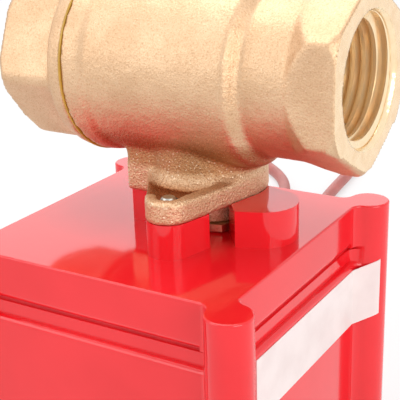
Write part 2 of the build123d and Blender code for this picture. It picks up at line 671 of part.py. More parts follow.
def cover_screws():
    """Four long screws through the cover's posts into the base's posts."""
    screws = []
    for at in box_corners(POST_HALF):
        head_z = COVER_SCREW_SINK - COVER_SCREW_HEAD
        head = disc(COVER_SCREW_HEAD_R, COVER_SCREW_HEAD, at, head_z)
        head -= block(0.8, 3.2, 0.9, at, head_z) + block(3.2, 0.8, 0.9, at, head_z)
        screws.append(head + disc(COVER_SCREW_R, COVER_SCREW_LENGTH, at, COVER_SCREW_SINK))
    return screws


def label_line(off):
    """The label's line in plan, at a distance from the cover: wall, straight bridge, then round the post."""
    wall_x = COVER_HALF + off
    post_r = POST_R + off
    leaves_y = wall_run(COVER_HALF) - 0.1
    gap = (POST_HALF - wall_x, POST_HALF - leaves_y)
    reach = hypot(*gap)
    touch = degrees(atan2(gap[1], gap[0]) - asin(post_r / reach)) - 90
    steps = [touch + (LABEL_ENDS_ON_POST - touch) * i / LABEL_POST_STEPS for i in range(LABEL_POST_STEPS + 1)]
    on_post = [place((POST_HALF, POST_HALF), post_r, turn) for turn in steps]
    return [(wall_x, LABEL_FROM_Y), (wall_x, leaves_y)] + on_post


def label():
    """The blank label, from the cover's right wall straight across on to its back post, where it rises."""
    line = label_line(FIT)
    outline = line + label_line(FIT + LABEL_THICKNESS)[::-1]
    strip = Pos(BOX_X, BOX_Y) * make_face(Polyline(*outline, close=True))
    bottom = FACE_Z - LABEL_TOP_BELOW_FACE - LABEL_HEIGHT
    lower = [(line[0][1], bottom), (line[1][1], bottom), (line[-1][1], bottom + LABEL_END_RISE)]
    side = lower + [(y, z + LABEL_HEIGHT) for y, z in lower[::-1]]
    window = extrude(Plane.YZ * make_face(Polyline(*side, close=True)), 2 * POST_R)
    tall = prism(strip, LABEL_HEIGHT + LABEL_END_RISE, bottom)
    return tall & Pos(BOX_X + WALL_HALF, BOX_Y, 0) * window


# Gears

def involute_angle(radius, base_r):
    """The polar angle that an involute has turned through at a radius."""
    if radius <= base_r:
        return 0.0
    pressure = acos(base_r / radius)
    return tan(pressure) - pressure


def gear_outline(module, teeth, turn=0.0):
    """A spur gear's outline, with one tooth centred at the given angle."""
    pitch_r = module * teeth / 2
    base_r = pitch_r * cos(radians(PRESSURE_ANGLE))
    tip_r = pitch_r + 0.9 * module
    root_r = pitch_r - 1.25 * module
    half = pi / (2 * teeth) * (1 - GEAR_PLAY) + involute_angle(pitch_r, base_r)
    low_r = max(base_r, root_r + 0.25 * module)
    flank = [(root_r, half + 0.25 / teeth)]
    flank += [(r, half - involute_angle(r, base_r)) for r in (low_r, (low_r + tip_r) / 2, tip_r)]
    points = []
    for tooth in range(teeth):
        middle = radians(turn) + 2 * pi * tooth / teeth
        points += [(r * cos(middle - a), r * sin(middle - a)) for r, a in flank]
        points += [(r * cos(middle + a), r * sin(middle + a)) for r, a in reversed(flank)]
    return make_face(Polyline(*points, close=True))


def meshed_turn(turn, teeth, other_teeth, bearing):
    """The second gear's turn that puts it in mesh, given the first's turn and the bearing between them."""
    offset_in_teeth = (bearing - turn) * teeth / 360
    return bearing + 180 - (0.5 - offset_in_teeth) * 360 / other_teeth


THIRD_TURN = meshed_turn(0.0, OUTPUT_TEETH, THIRD_PINION_TEETH, THIRD_BEARING)
SECOND_TURN = meshed_turn(0.0, THIRD_WHEEL_TEETH, SECOND_PINION_TEETH, SECOND_BEARING)
FIRST_TURN = meshed_turn(0.0, SECOND_WHEEL_TEETH, FIRST_PINION_TEETH, FIRST_BEARING)
MOTOR_TURN = meshed_turn(0.0, FIRST_WHEEL_TEETH, MOTOR_PINION_TEETH, MOTOR_BEARING)


def compound_gear(at, wheel, pinion, wheel_z, pinion_top_z, hub_r):
    """A wheel and a pinion in one piece on a pin: wheel and pinion are (module, teeth, turn)."""
    gear = prism(gear_outline(*wheel), WHEEL_WIDTH, wheel_z)
    pinion_z = wheel_z + WHEEL_WIDTH - 0.1
    gear += prism(gear_outline(*pinion), pinion_top_z - pinion_z, pinion_z)
    gear += disc(hub_r, wheel_z - PLATE_TOP - 0.1, z=PLATE_TOP + 0.1)
    gear -= disc(PIN_R + PIN_SPIN_PLAY, ACTUATOR_HEIGHT)
    return Pos(*at) * gear


def first_gear():
    """The gear that the motor pinion drives."""
    wheel = (FAST_MODULE, FIRST_WHEEL_TEETH, 0)
    pinion = (FAST_MODULE, FIRST_PINION_TEETH, FIRST_TURN)
    return compound_gear(FIRST_AT, wheel, pinion, FIRST_WHEEL_Z, SECOND_WHEEL_Z + WHEEL_WIDTH + 0.6, 1.9)


def second_gear():
    """The middle gear of the train."""
    wheel = (FAST_MODULE, SECOND_WHEEL_TEETH, 0)
    pinion = (SLOW_MODULE, SECOND_PINION_TEETH, SECOND_TURN)
    return compound_gear(SECOND_AT, wheel, pinion, SECOND_WHEEL_Z, THIRD_WHEEL_Z + WHEEL_WIDTH + 0.6, 2.2)


def third_gear():
    """The gear that drives the output gear."""
    wheel = (SLOW_MODULE, THIRD_WHEEL_TEETH, 0)
    pinion = (OUTPUT_MODULE, THIRD_PINION_TEETH, THIRD_TURN)
    return compound_gear(THIRD_AT, wheel, pinion, THIRD_WHEEL_Z, OUTPUT_GEAR_TOP_Z + 0.4, 3.0)


def output_gear():
    """The output gear, with its hub through the base and the stem's square socket."""
    gear = prism(gear_outline(OUTPUT_MODULE, OUTPUT_TEETH), OUTPUT_WIDTH, OUTPUT_GEAR_Z)
    gear += disc(HUB_R, HUB_TOP_Z - OUTPUT_GEAR_TOP_Z, z=OUTPUT_GEAR_TOP_Z)
    gear -= disc(SHAFT_R, SOCKET_FLOOR_Z - OUTPUT_GEAR_Z, z=OUTPUT_GEAR_Z)
    socket = STEM_SQUARE + 2 * SOCKET_PLAY
    gear -= block(socket, socket, HUB_TOP_Z - SOCKET_FLOOR_Z, z=SOCKET_FLOOR_Z)
    groove_z = CEILING_Z + BASE_PLATE / 2 - 0.5
    return gear - ring(HUB_R + 1, HUB_R - 0.6, 1.0, z=groove_z)


def hub_seal():
    """The O-ring in the hub's groove."""
    return Pos(0, 0, CEILING_Z + BASE_PLATE / 2) * Torus(HUB_R - 0.29, 0.3)


def output_shaft():
    """The shaft under the output gear, which carries the cam."""
    return disc(SHAFT_R, SOCKET_FLOOR_Z - CAM_TOP_Z + CAM_THICKNESS + 1.0, z=CAM_TOP_Z - CAM_THICKNESS - 1.0)


def cam():
    """The cam, whose lobe points at the closed switch at rest."""
    outline = Circle(CAM_R)
    span = CAM_LOBE_ANGLE / 2
    lobe = [(0, 0)] + [(CAM_LOBE_R * cos(radians(90 + a)), CAM_LOBE_R * sin(radians(90 + a)))
                       for a in (-span, -span / 3, span / 3, span)]
    outline += make_face(Polyline(*lobe, close=True))
    return prism(outline - Circle(SHAFT_R), CAM_THICKNESS, CAM_TOP_Z - CAM_THICKNESS)


def gear_pins():
    """Three pins pressed into the gear plate."""
    tops = ((FIRST_AT, SECOND_WHEEL_Z + WHEEL_WIDTH + 1.4), (SECOND_AT, THIRD_WHEEL_Z + WHEEL_WIDTH + 1.1),
            (THIRD_AT, CEILING_Z + 1.0))
    return [disc(PIN_R, top - PLATE_Z, at, PLATE_Z) for at, top in tops]


def pin_washers():
    """Push-on washers that keep the first two gears on their pins."""
    tops = ((FIRST_AT, SECOND_WHEEL_Z + WHEEL_WIDTH + 0.7), (SECOND_AT, THIRD_WHEEL_Z + WHEEL_WIDTH + 0.7))
    return [ring(1.9, PIN_R, 0.3, at, top) for at, top in tops]


def gear_plate():
    """The steel plate that carries the pins, the motor and the switches."""
    plate = prism(square_outline(PLATE_HALF, PLATE_BOSS_R), PLATE_THICKNESS, PLATE_Z)
    for at in (FIRST_AT, SECOND_AT, THIRD_AT):
        plate -= disc(PIN_R, PLATE_THICKNESS, at, PLATE_Z)
    plate -= disc(SHAFT_R + RUNNING, PLATE_THICKNESS, z=PLATE_Z)
    plate -= disc(MOTOR_NOSE_R + RUNNING, PLATE_THICKNESS, MOTOR_AT, PLATE_Z)
    for at in motor_screw_places():
        plate -= disc(MOTOR_SCREW_R + FIT, PLATE_THICKNESS, at, PLATE_Z)
        plate -= disc(2 * MOTOR_SCREW_R, PLATE_THICKNESS / 2, at, PLATE_Z + PLATE_THICKNESS / 2)
    for at in box_corners(PLATE_BOSS_HALF):
        plate -= disc(PLATE_SCREW_R + 0.1, PLATE_THICKNESS, at, PLATE_Z)
    for at in switch_screw_places():
        plate -= disc(SWITCH_SCREW_R + FIT, PLATE_THICKNESS, at, PLATE_Z)
    return plate


def plate_screws():
    """Four screws that hold the gear plate to the base's bosses."""
    return [disc(2 * PLATE_SCREW_R, PLATE_SCREW_HEAD, at, PLATE_Z - PLATE_SCREW_HEAD)
            + disc(PLATE_SCREW_R, PLATE_THICKNESS + PLATE_SCREW_BITE, at, PLATE_Z)
            for at in box_corners(PLATE_BOSS_HALF)]


# Motor

def motor_section(radius, flats):
    """A motor can's section: round with two flats."""
    return Circle(radius) & Rectangle(flats, 3 * radius)


def motor_screw_places():
    """Where the two motor screws pass through the plate."""
    return [place(MOTOR_AT, MOTOR_SCREW_OFFSET, MOTOR_SCREW_TURN + half_turn) for half_turn in (0, 180)]


def motor_can():
    """The motor's steel can, closed at the plate and open below."""
    bottom = PLATE_Z - MOTOR_LENGTH
    inner = motor_section(MOTOR_R - MOTOR_WALL, MOTOR_FLATS - 2 * MOTOR_WALL)
    can = prism(motor_section(MOTOR_R, MOTOR_FLATS), MOTOR_LENGTH, bottom)
    can -= prism(inner, MOTOR_LENGTH - 1.0, bottom)
    can += disc(MOTOR_NOSE_R, MOTOR_NOSE, z=PLATE_Z)
    can = Pos(*MOTOR_AT) * can
    can -= disc(MOTOR_SHAFT_R + RUNNING, 2 * MOTOR_NOSE + 1.0, MOTOR_AT, PLATE_Z - MOTOR_NOSE)
    for at in motor_screw_places():
        can -= disc(MOTOR_SCREW_R + FIT, 1.0, at, PLATE_Z - 1.0)
    return can


def motor_screws():
    """Two screws that hold the motor under the plate."""
    return [disc(2 * MOTOR_SCREW_R - 0.1, 0.8, at, PLATE_TOP - 0.8)
            + disc(MOTOR_SCREW_R, PLATE_THICKNESS + 0.1, at, PLATE_Z - 0.9) for at in motor_screw_places()]


def motor_cap():
    """The plastic cap that closes the can, with the shaft's lower bearing."""
    bottom = PLATE_Z - MOTOR_LENGTH
    cap = prism(motor_section(MOTOR_R, MOTOR_FLATS), MOTOR_CAP, bottom - MOTOR_CAP)
    cap += disc(2.2, 1.0, z=bottom)
    cap -= disc(MOTOR_SHAFT_R + RUNNING, 2.0, z=bottom - 1.0)
    return Pos(*MOTOR_AT) * cap


def motor_terminals():
    """Two blades from the cap down through the board."""
    top = PLATE_Z - MOTOR_LENGTH - MOTOR_CAP
    return [block(1.8, 0.4, top - BOARD_Z + 0.8, (MOTOR_AT[0], MOTOR_AT[1] + side * 5.0), BOARD_Z - 0.8)
            for side in (-1, 1)]


def motor_magnets():
    """Two curved magnets inside the can."""
    bottom = PLATE_Z - MOTOR_LENGTH + 2.0
    outer = MOTOR_R - MOTOR_WALL
    arc = prism(Circle(outer) - Circle(outer - MAGNET_THICKNESS), MOTOR_LENGTH - 4.5, bottom)
    width = MOTOR_FLATS - 2 * MOTOR_WALL - 3.0
    sides = [block(width, outer, MOTOR_LENGTH, (0, side * outer), bottom) for side in (-1, 1)]
    return [Pos(*MOTOR_AT) * (arc & side) for side in sides]


def motor_rotor():
    """The armature and its shaft."""
    bottom = PLATE_Z - MOTOR_LENGTH
    rotor = disc(MOTOR_SHAFT_R, SECOND_WHEEL_Z - 0.5 - bottom + 0.8, z=bottom - 0.8)
    return Pos(*MOTOR_AT) * (rotor + disc(ARMATURE_R, ARMATURE_LENGTH, z=bottom + 3.0))


def motor_pinion():
    """The pinion pressed on the motor's shaft."""
    height = SECOND_WHEEL_Z - 0.4 - PLATE_TOP - 0.3
    pinion = prism(gear_outline(FAST_MODULE, MOTOR_PINION_TEETH, MOTOR_TURN), height, PLATE_TOP + 0.3)
    return Pos(*MOTOR_AT) * (pinion - disc(MOTOR_SHAFT_R, height, z=PLATE_TOP + 0.3))


# Limit switches, drawn on the +Y side of the cam; the open one is turned by a quarter

def lever_y():
    """The near face of a switch lever, measured from the stem's axis."""
    return SWITCH_FROM_AXIS - LEVER_STANDOFF


def pivot_x():
    """Where a lever turns, along the switch."""
    return -SWITCH_LENGTH / 2 + LEVER_EAR / 2


def pivot_y():
    """Where a lever turns, measured from the stem's axis."""
    return lever_y() + LEVER_THICKNESS


def switch_body():
    """A limit switch's case."""
    middle_y = SWITCH_FROM_AXIS + SWITCH_DEPTH / 2
    case = block(SWITCH_LENGTH, SWITCH_DEPTH, SWITCH_THICKNESS, (0, middle_y), SWITCH_Z)
    reach = LEVER_STANDOFF + 0.2
    ear_y = SWITCH_FROM_AXIS - reach + (reach + 0.6) / 2
    ear = block(LEVER_EAR, reach + 0.6, LEVER_EAR_THICKNESS, (pivot_x(), ear_y), SWITCH_Z)
    case += ear + Pos(0, 0, SWITCH_THICKNESS - LEVER_EAR_THICKNESS) * ear
    case -= disc(LEVER_PIVOT_R + RUNNING, SWITCH_THICKNESS, (pivot_x(), pivot_y()), SWITCH_Z)
    screw_y = SWITCH_FROM_AXIS + SWITCH_DEPTH - SWITCH_SCREW_INSET
    for x in (-SWITCH_SCREW_SPACING / 2, SWITCH_SCREW_SPACING / 2):
        case -= disc(SWITCH_SCREW_R + FIT, SWITCH_THICKNESS, (x, screw_y), SWITCH_Z)
    mouth = Pos(pivot_x() + PLUNGER_FROM_PIVOT, SWITCH_FROM_AXIS, SWITCH_Z + SWITCH_THICKNESS / 2)
    return case - mouth * Rot(90, 0, 0) * Cylinder(PLUNGER_R + RUNNING, 2 * PLUNGER_BORE)


def switch_lever():
    """The sprung leaf between the cam and the plunger."""
    middle_z = SWITCH_Z + SWITCH_THICKNESS / 2
    leaf = Pos(pivot_x() + LEVER_LENGTH / 2, lever_y() + LEVER_THICKNESS / 2, middle_z) * Box(
        LEVER_LENGTH, LEVER_THICKNESS, LEVER_WIDTH)
    pivot = Pos(pivot_x(), pivot_y(), middle_z) * Cylinder(LEVER_PIVOT_R, SWITCH_THICKNESS - 0.2)
    return leaf + pivot


def switch_plunger():
    """The plunger that the lever presses."""
    length = 1.6 + LEVER_STANDOFF - LEVER_THICKNESS
    middle_z = SWITCH_Z + SWITCH_THICKNESS / 2
    start_y = lever_y() + LEVER_THICKNESS + LEVER_PLUNGER_GAP
    plunger = Pos(pivot_x() + PLUNGER_FROM_PIVOT, start_y + length / 2, middle_z) * Rot(90, 0, 0) * Cylinder(
        PLUNGER_R, length)
    return plunger


def terminal_places():
    """Where a switch's terminals stand, along the switch."""
    return (-SWITCH_TERMINAL_SPACING, 0.0, SWITCH_TERMINAL_SPACING)


def switch_terminals():
    """Three blades behind a switch."""
    width, depth, height = SWITCH_TERMINAL
    y = SWITCH_FROM_AXIS + SWITCH_DEPTH + depth / 2
    return [block(width, depth, height, (x, y), SWITCH_Z + SWITCH_TERMINAL_LIFT) for x in terminal_places()]


def switch_wires():
    """Straight wires from a switch's terminals down to the board."""
    y = SWITCH_FROM_AXIS + SWITCH_DEPTH + SWITCH_TERMINAL[1] / 2
    drop = SWITCH_Z + SWITCH_TERMINAL_LIFT - BOARD_TOP_Z
    return [disc(SWITCH_WIRE_R, drop, (x, y), BOARD_TOP_Z) for x in terminal_places()]


def both_switches(make):
    """A piece of the closed switch and the same piece of the open one."""
    closed = make()
    closed = closed if isinstance(closed, list) else [closed]
    return closed + [Rot(0, 0, 90) * piece for piece in closed]


def switch_screw_places():
    """The four screw places of the two switches."""
    y = SWITCH_FROM_AXIS + SWITCH_DEPTH - SWITCH_SCREW_INSET
    closed = [(x, y) for x in (-SWITCH_SCREW_SPACING / 2, SWITCH_SCREW_SPACING / 2)]
    return closed + [(-y, x) for x, y in closed]


def switch_screws():
    """Four screws that hold the switches under the plate."""
    return [disc(1.6, 1.0, at, SWITCH_Z - 1.0) + disc(SWITCH_SCREW_R, SWITCH_THICKNESS + 1.4, at, SWITCH_Z)
            for at in switch_screw_places()]


# Circuit board

def circuit_board():
    """The board on the cover's bosses."""
    board = prism(square_outline(BOARD_HALF, 1.5), BOARD_THICKNESS, BOARD_Z)
    for at in box_corners(BOARD_BOSS_HALF):
        board -= disc(0.9, BOARD_THICKNESS, at, BOARD_Z)
    for side in (-1, 1):
        board -= block(2.0, 0.6, BOARD_THICKNESS, (MOTOR_AT[0], MOTOR_AT[1] + side * 5.0), BOARD_Z)
    return board


def board_screws():
    """Four screws that hold the board."""
    return [disc(BOARD_SCREW_HEAD_R, BOARD_SCREW_HEAD, at, BOARD_TOP_Z)
            + disc(BOARD_SCREW_R, BOARD_THICKNESS + BOARD_SCREW_BITE, at, BOARD_Z - BOARD_SCREW_BITE)
            for at in box_corners(BOARD_BOSS_HALF)]


def relay():
    """The relay that reverses the motor."""
    width, depth, height = RELAY
    case = block(width, depth, height, RELAY_AT, BOARD_TOP_Z)
    return fillet(case.edges().group_by(Axis.Z)[-1], 0.5)


def capacitor():
    """The reservoir capacitor."""
    can = disc(CAPACITOR_R, CAPACITOR_HEIGHT, CAPACITOR_AT, BOARD_TOP_Z)
    return fillet(can.edges().group_by(Axis.Z)[-1], 0.6)


def terminal_block_y():
    """The middle of the terminal block, just inside the cable's inner end."""
    return BACK_INNER_Y - TERMINAL_BLOCK_FROM_WALL - TERMINAL_BLOCK[1] / 2


def terminal_block():
    """The block that takes the cable's two leads."""
    width, depth, height = TERMINAL_BLOCK
    y = terminal_block_y()
    case = block(width, depth, height, (CABLE_X, y), BOARD_TOP_Z)
    for side in (-1, 1):
        case -= disc(1.6, 2.0, (CABLE_X + side * 2.5, y), BOARD_TOP_Z + height - 2.0)
        entry = Pos(CABLE_X + side * 1.0, y + depth / 2, CABLE_Z) * Rot(90, 0, 0)
        case -= entry * Cylinder(LEAD_R + FIT, 2 * TERMINAL_ENTRY)
    return case


def board_chips():
    """Small parts on the board: the driver, a row of resistors and two diodes."""
    parts = [block(*DRIVER_CHIP, DRIVER_AT, BOARD_TOP_Z)]
    x, y = RESISTORS_FROM
    parts += [block(*RESISTOR, (x + RESISTOR_PITCH * i, y), BOARD_TOP_Z) for i in range(4)]
    x, y = DIODES_FROM
    parts += [block(*DIODE, (x + DIODE_PITCH * i, y), BOARD_TOP_Z) for i in range(2)]
    return parts


# Cable

def grommet():
    """The rubber grommet in the back wall, with a tapered boot."""
    inner = BACK_INNER_Y
    outer = BACK_WALL_Y
    return turned_on_y([
        (inner - GROMMET_INNER, CABLE_R), (inner - GROMMET_INNER, GROMMET_R + 0.8), (inner, GROMMET_R + 0.8),
        (inner, GROMMET_R), (outer, GROMMET_R), (outer, GROMMET_FLANGE_R),
        (outer + GROMMET_FLANGE - 0.4, GROMMET_FLANGE_R), (outer + GROMMET_FLANGE, GROMMET_FLANGE_R - 0.6),
        (outer + GROMMET_FLANGE, GROMMET_R), (BOOT_Y, BOOT_TIP_R), (BOOT_Y, CABLE_R),
    ], CABLE_X, CABLE_Z)


def cable_end_inside():
    """The cable's fixed end, through the grommet."""
    start = BACK_INNER_Y - 3.6
    return Pos(CABLE_X, (start + BOOT_Y) / 2, CABLE_Z) * Rot(90, 0, 0) * Cylinder(CABLE_R, BOOT_Y - start)


def cable_tie():
    """The tie that stops the cable from pulling out."""
    y = BACK_INNER_Y - GROMMET_INNER - 0.85
    outer = CABLE_R + 0.8
    band = turned_on_y([(y - 0.8, CABLE_R), (y - 0.8, outer), (y + 0.8, outer), (y + 0.8, CABLE_R)],
                       CABLE_X, CABLE_Z)
    return band + Pos(CABLE_X, y, CABLE_Z + CABLE_R + 1.4) * Box(2.6, 1.6, 1.6)


def inner_leads():
    """The two insulated leads from the cable's inner end into the terminal block."""
    start = BACK_INNER_Y - 3.6
    stop = terminal_block_y() + TERMINAL_BLOCK[1] / 2 - TERMINAL_ENTRY + 0.1
    middle = (start + stop) / 2
    rod = Rot(90, 0, 0) * Cylinder(LEAD_R, start - stop)
    return [Pos(CABLE_X + side, middle, CABLE_Z) * rod for side in (-1, 1)]


def arc_radii(points):
    """For each inner point, the radius 0.45 of its shorter run allows."""
    radii = []
    for before, here, after in zip(points, points[1:], points[2:]):
        a, b = Vector(*here) - Vector(*before), Vector(*after) - Vector(*here)
        radii.append(0.45 * min(a.length, b.length) / tan(radians(a.get_angle(b)) / 2))
    return radii


def cable_path():
    """The free cable's centre line: straight runs joined by tangent arcs."""
    radii = arc_radii(CABLE_ROUTE)
    print("cable radii in diameters:", [round(r / (2 * CABLE_R), 1) for r in radii])
    return FilletPolyline(*CABLE_ROUTE, radius=radii)


def cable():
    """The free cable on the resting plane."""
    path = cable_path()
    tube = sweep(Plane(path @ 0, z_dir=path % 0) * Circle(CABLE_R), path)
    print("cable length:", round(path.length, 1), "volume ratio:",
          round(tube.volume / (pi * CABLE_R ** 2 * path.length), 4))
    return tube


def far_end():
    """The cable's last point and its bearing there."""
    before, last = CABLE_ROUTE[-2], CABLE_ROUTE[-1]
    return last, degrees(atan2(last[1] - before[1], last[0] - before[0]))


def lead_pieces(radius, start, length):
    """Two rods that spread from the cable's far end, each begun a distance along its lead."""
    (x, y, z), bearing = far_end()
    rods = []
    for side in (-1, 1):
        foot = place((x, y), 0.8, bearing + side * 90)
        turn = bearing + side * LEAD_SPREAD
        begin = place(foot, start, turn)
        rods.append(Pos(*begin, z) * Rot(0, 0, turn) * Rot(0, 90, 0) * Cylinder(
            radius, length, align=(Align.CENTER, Align.CENTER, Align.MIN)))
    return rods


def lead_ends():
    """The two insulated leads at the cable's far end, cut square at the cable."""
    (x, y, z), bearing = far_end()
    inset = 2 * CABLE_R
    cable_space = Pos(x, y, z) * Rot(0, 0, bearing) * Pos(-inset, 0, 0) * Box(2 * inset, 3 * inset, 3 * inset)
    return [rod - cable_space for rod in lead_pieces(LEAD_R, -1.0, LEAD_LENGTH + 1.0)]


def tinned_tips():
    """The stripped and tinned ends of the leads."""
    return lead_pieces(TINNED_R, LEAD_LENGTH, TINNED_LENGTH)


NODES = {
    "valve_body": valve_body,
    "end_connector": end_connector,
    "joint_seal": joint_seal,
    "ball": ball,
    "ball_seat_right": lambda: Rot(0, 0, 180) * ball_seat(),
    "ball_seat_left": ball_seat,
    "stem": stem,
    "stem_orings": stem_orings,
    "thrust_washer": thrust_washer,
    "packing_nut": packing_nut,
    "packing_ring": packing_ring,
    "flange_screws": flange_screws,
    "base_housing": base_housing,
    "cover_housing": cover_housing,
    "housing_gasket": housing_gasket,
    "cover_screws": cover_screws,
    "label": label,
    "first_gear": first_gear,
    "second_gear": second_gear,
    "third_gear": third_gear,
    "output_gear": output_gear,
    "hub_seal": hub_seal,
    "output_shaft": output_shaft,
    "cam": cam,
    "gear_pins": gear_pins,
    "pin_washers": pin_washers,
    "gear_plate": gear_plate,
    "plate_screws": plate_screws,
    "motor_can": motor_can,
    "motor_screws": motor_screws,
    "motor_cap": motor_cap,
    "motor_terminals": motor_terminals,
    "motor_magnets": motor_magnets,
    "motor_rotor": motor_rotor,
    "motor_pinion": motor_pinion,
    "closed_switch": switch_body,
    "open_switch": lambda: Rot(0, 0, 90) * switch_body(),
    "closed_lever": switch_lever,
    "open_lever": lambda: Rot(0, 0, 90) * switch_lever(),
    "closed_plunger": switch_plunger,
    "open_plunger": lambda: Rot(0, 0, 90) * switch_plunger(),
    "switch_terminals": lambda: both_switches(switch_terminals),
    "switch_wires": lambda: both_switches(switch_wires),
    "switch_screws": switch_screws,
    "circuit_board": circuit_board,
    "board_screws": board_screws,
    "relay": relay,
    "capacitor": capacitor,
    "terminal_block": terminal_block,
    "board_chips": board_chips,
    "grommet": grommet,
    "cable_end_inside": cable_end_inside,
    "cable_tie": cable_tie,
    "inner_leads": inner_leads,
    "cable": cable,
    "red_lead": lambda: lead_ends()[0],
    "black_lead": lambda: lead_ends()[1],
    "tinned_tips": tinned_tips,
}

os.makedirs("parts", exist_ok=True)
for name, make in NODES.items():
    made = make()
    solids = made if isinstance(made, list) else [made]
    shape = Compound([s for piece in solids for s in piece.solids()])
    print(name, len(shape.solids()), round(shape.volume, 1))
    export_step(shape, f"parts/{name}.step")
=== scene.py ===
"""A miniature electric ball valve: its finishes, threads, screws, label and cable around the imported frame.

Sizes are in millimetres until a mesh is made, and every mesh is in metres in the frame's own axes.
"""

from __future__ import annotations

import json
import logging
import math
from dataclasses import dataclass, field
from enum import Enum
from typing import Sequence, Union

import bmesh
import bpy
import numpy as np
from mathutils import Matrix, Vector, noise

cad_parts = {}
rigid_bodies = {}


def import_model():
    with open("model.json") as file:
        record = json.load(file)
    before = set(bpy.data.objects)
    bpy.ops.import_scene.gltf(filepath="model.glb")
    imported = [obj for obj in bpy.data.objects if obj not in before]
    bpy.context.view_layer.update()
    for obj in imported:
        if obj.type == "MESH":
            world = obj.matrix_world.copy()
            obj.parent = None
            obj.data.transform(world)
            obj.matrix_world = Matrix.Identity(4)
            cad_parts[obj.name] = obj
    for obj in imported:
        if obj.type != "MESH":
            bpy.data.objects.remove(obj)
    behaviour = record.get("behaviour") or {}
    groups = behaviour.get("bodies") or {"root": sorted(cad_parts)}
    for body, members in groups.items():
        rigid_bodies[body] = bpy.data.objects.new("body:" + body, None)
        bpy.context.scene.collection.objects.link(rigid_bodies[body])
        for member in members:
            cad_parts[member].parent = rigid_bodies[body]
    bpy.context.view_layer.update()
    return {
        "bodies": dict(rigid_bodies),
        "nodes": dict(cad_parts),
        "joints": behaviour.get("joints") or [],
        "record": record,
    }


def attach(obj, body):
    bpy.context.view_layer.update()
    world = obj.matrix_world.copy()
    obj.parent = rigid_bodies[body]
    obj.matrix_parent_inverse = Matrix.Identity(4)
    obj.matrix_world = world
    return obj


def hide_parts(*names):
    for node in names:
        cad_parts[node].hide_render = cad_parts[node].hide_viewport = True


LOG = logging.getLogger("electric_valve")
MM = 0.001
TURN = 2 * math.pi
PIPE_Z = 72.9
SHEET_SEAM = 0.0005
OWN_SEAM = 0.001
FRAME_SEAM = 0.002
POCKET = "pocket"
Point = tuple[float, float, float]
Span = tuple[float, float]
Colour = tuple[float, float, float, float]
Given = Union["Value", float, Point, Colour, bpy.types.Material]
WHITE: Colour = (1.0, 1.0, 1.0, 1.0)


def srgb(red: int, green: int, blue: int) -> Colour:
    """A screen's colour, each part from 0 to 255, as linear light with full alpha."""
    light = [c / 255 / 12.92 if c <= 10 else ((c / 255 + 0.055) / 1.055) ** 2.4 for c in (red, green, blue)]
    return (*light, 1.0)


def shaded(colour: Colour, share: float) -> Colour:
    """A colour at a share of its light."""
    return (*(share * c for c in colour[:3]), 1.0)


class Body(Enum):
    """The bodies that pieces ride on."""

    HOUSING = "housing"
    DRIVE = "drive"
    THIRD_GEAR = "third_gear"
    SECOND_GEAR = "second_gear"
    FIRST_GEAR = "first_gear"
    MOTOR_SHAFT = "motor_shaft"
    CLOSED_LEVER = "closed_lever"
    OPEN_LEVER = "open_lever"
    CLOSED_PLUNGER = "closed_plunger"
    OPEN_PLUNGER = "open_plunger"


# Node maths, for materials and for Geometry Nodes


class Value:
    """A socket's value in a node tree, on which ordinary maths can be written."""

    def __init__(self, graph: Graph, socket: bpy.types.NodeSocket) -> None:
        """Keeps the tree and the socket."""
        self.graph = graph
        self.socket = socket

    def __add__(self, other: Value | float) -> Value:
        """This plus the other."""
        return self.graph.maths("ADD", self, other)

    def __sub__(self, other: Value | float) -> Value:
        """This less the other."""
        return self.graph.maths("SUBTRACT", self, other)

    def __rsub__(self, other: float) -> Value:
        """The other less this."""
        return self.graph.maths("SUBTRACT", other, self)

    def __mul__(self, other: Value | float) -> Value:
        """This times the other."""
        return self.graph.maths("MULTIPLY", self, other)

    def __truediv__(self, other: Value | float) -> Value:
        """This shared by the other."""
        return self.graph.maths("DIVIDE", self, other)

    def __pow__(self, other: float) -> Value:
        """This to a power."""
        return self.graph.maths("POWER", self, other)

    __radd__ = __add__
    __rmul__ = __mul__


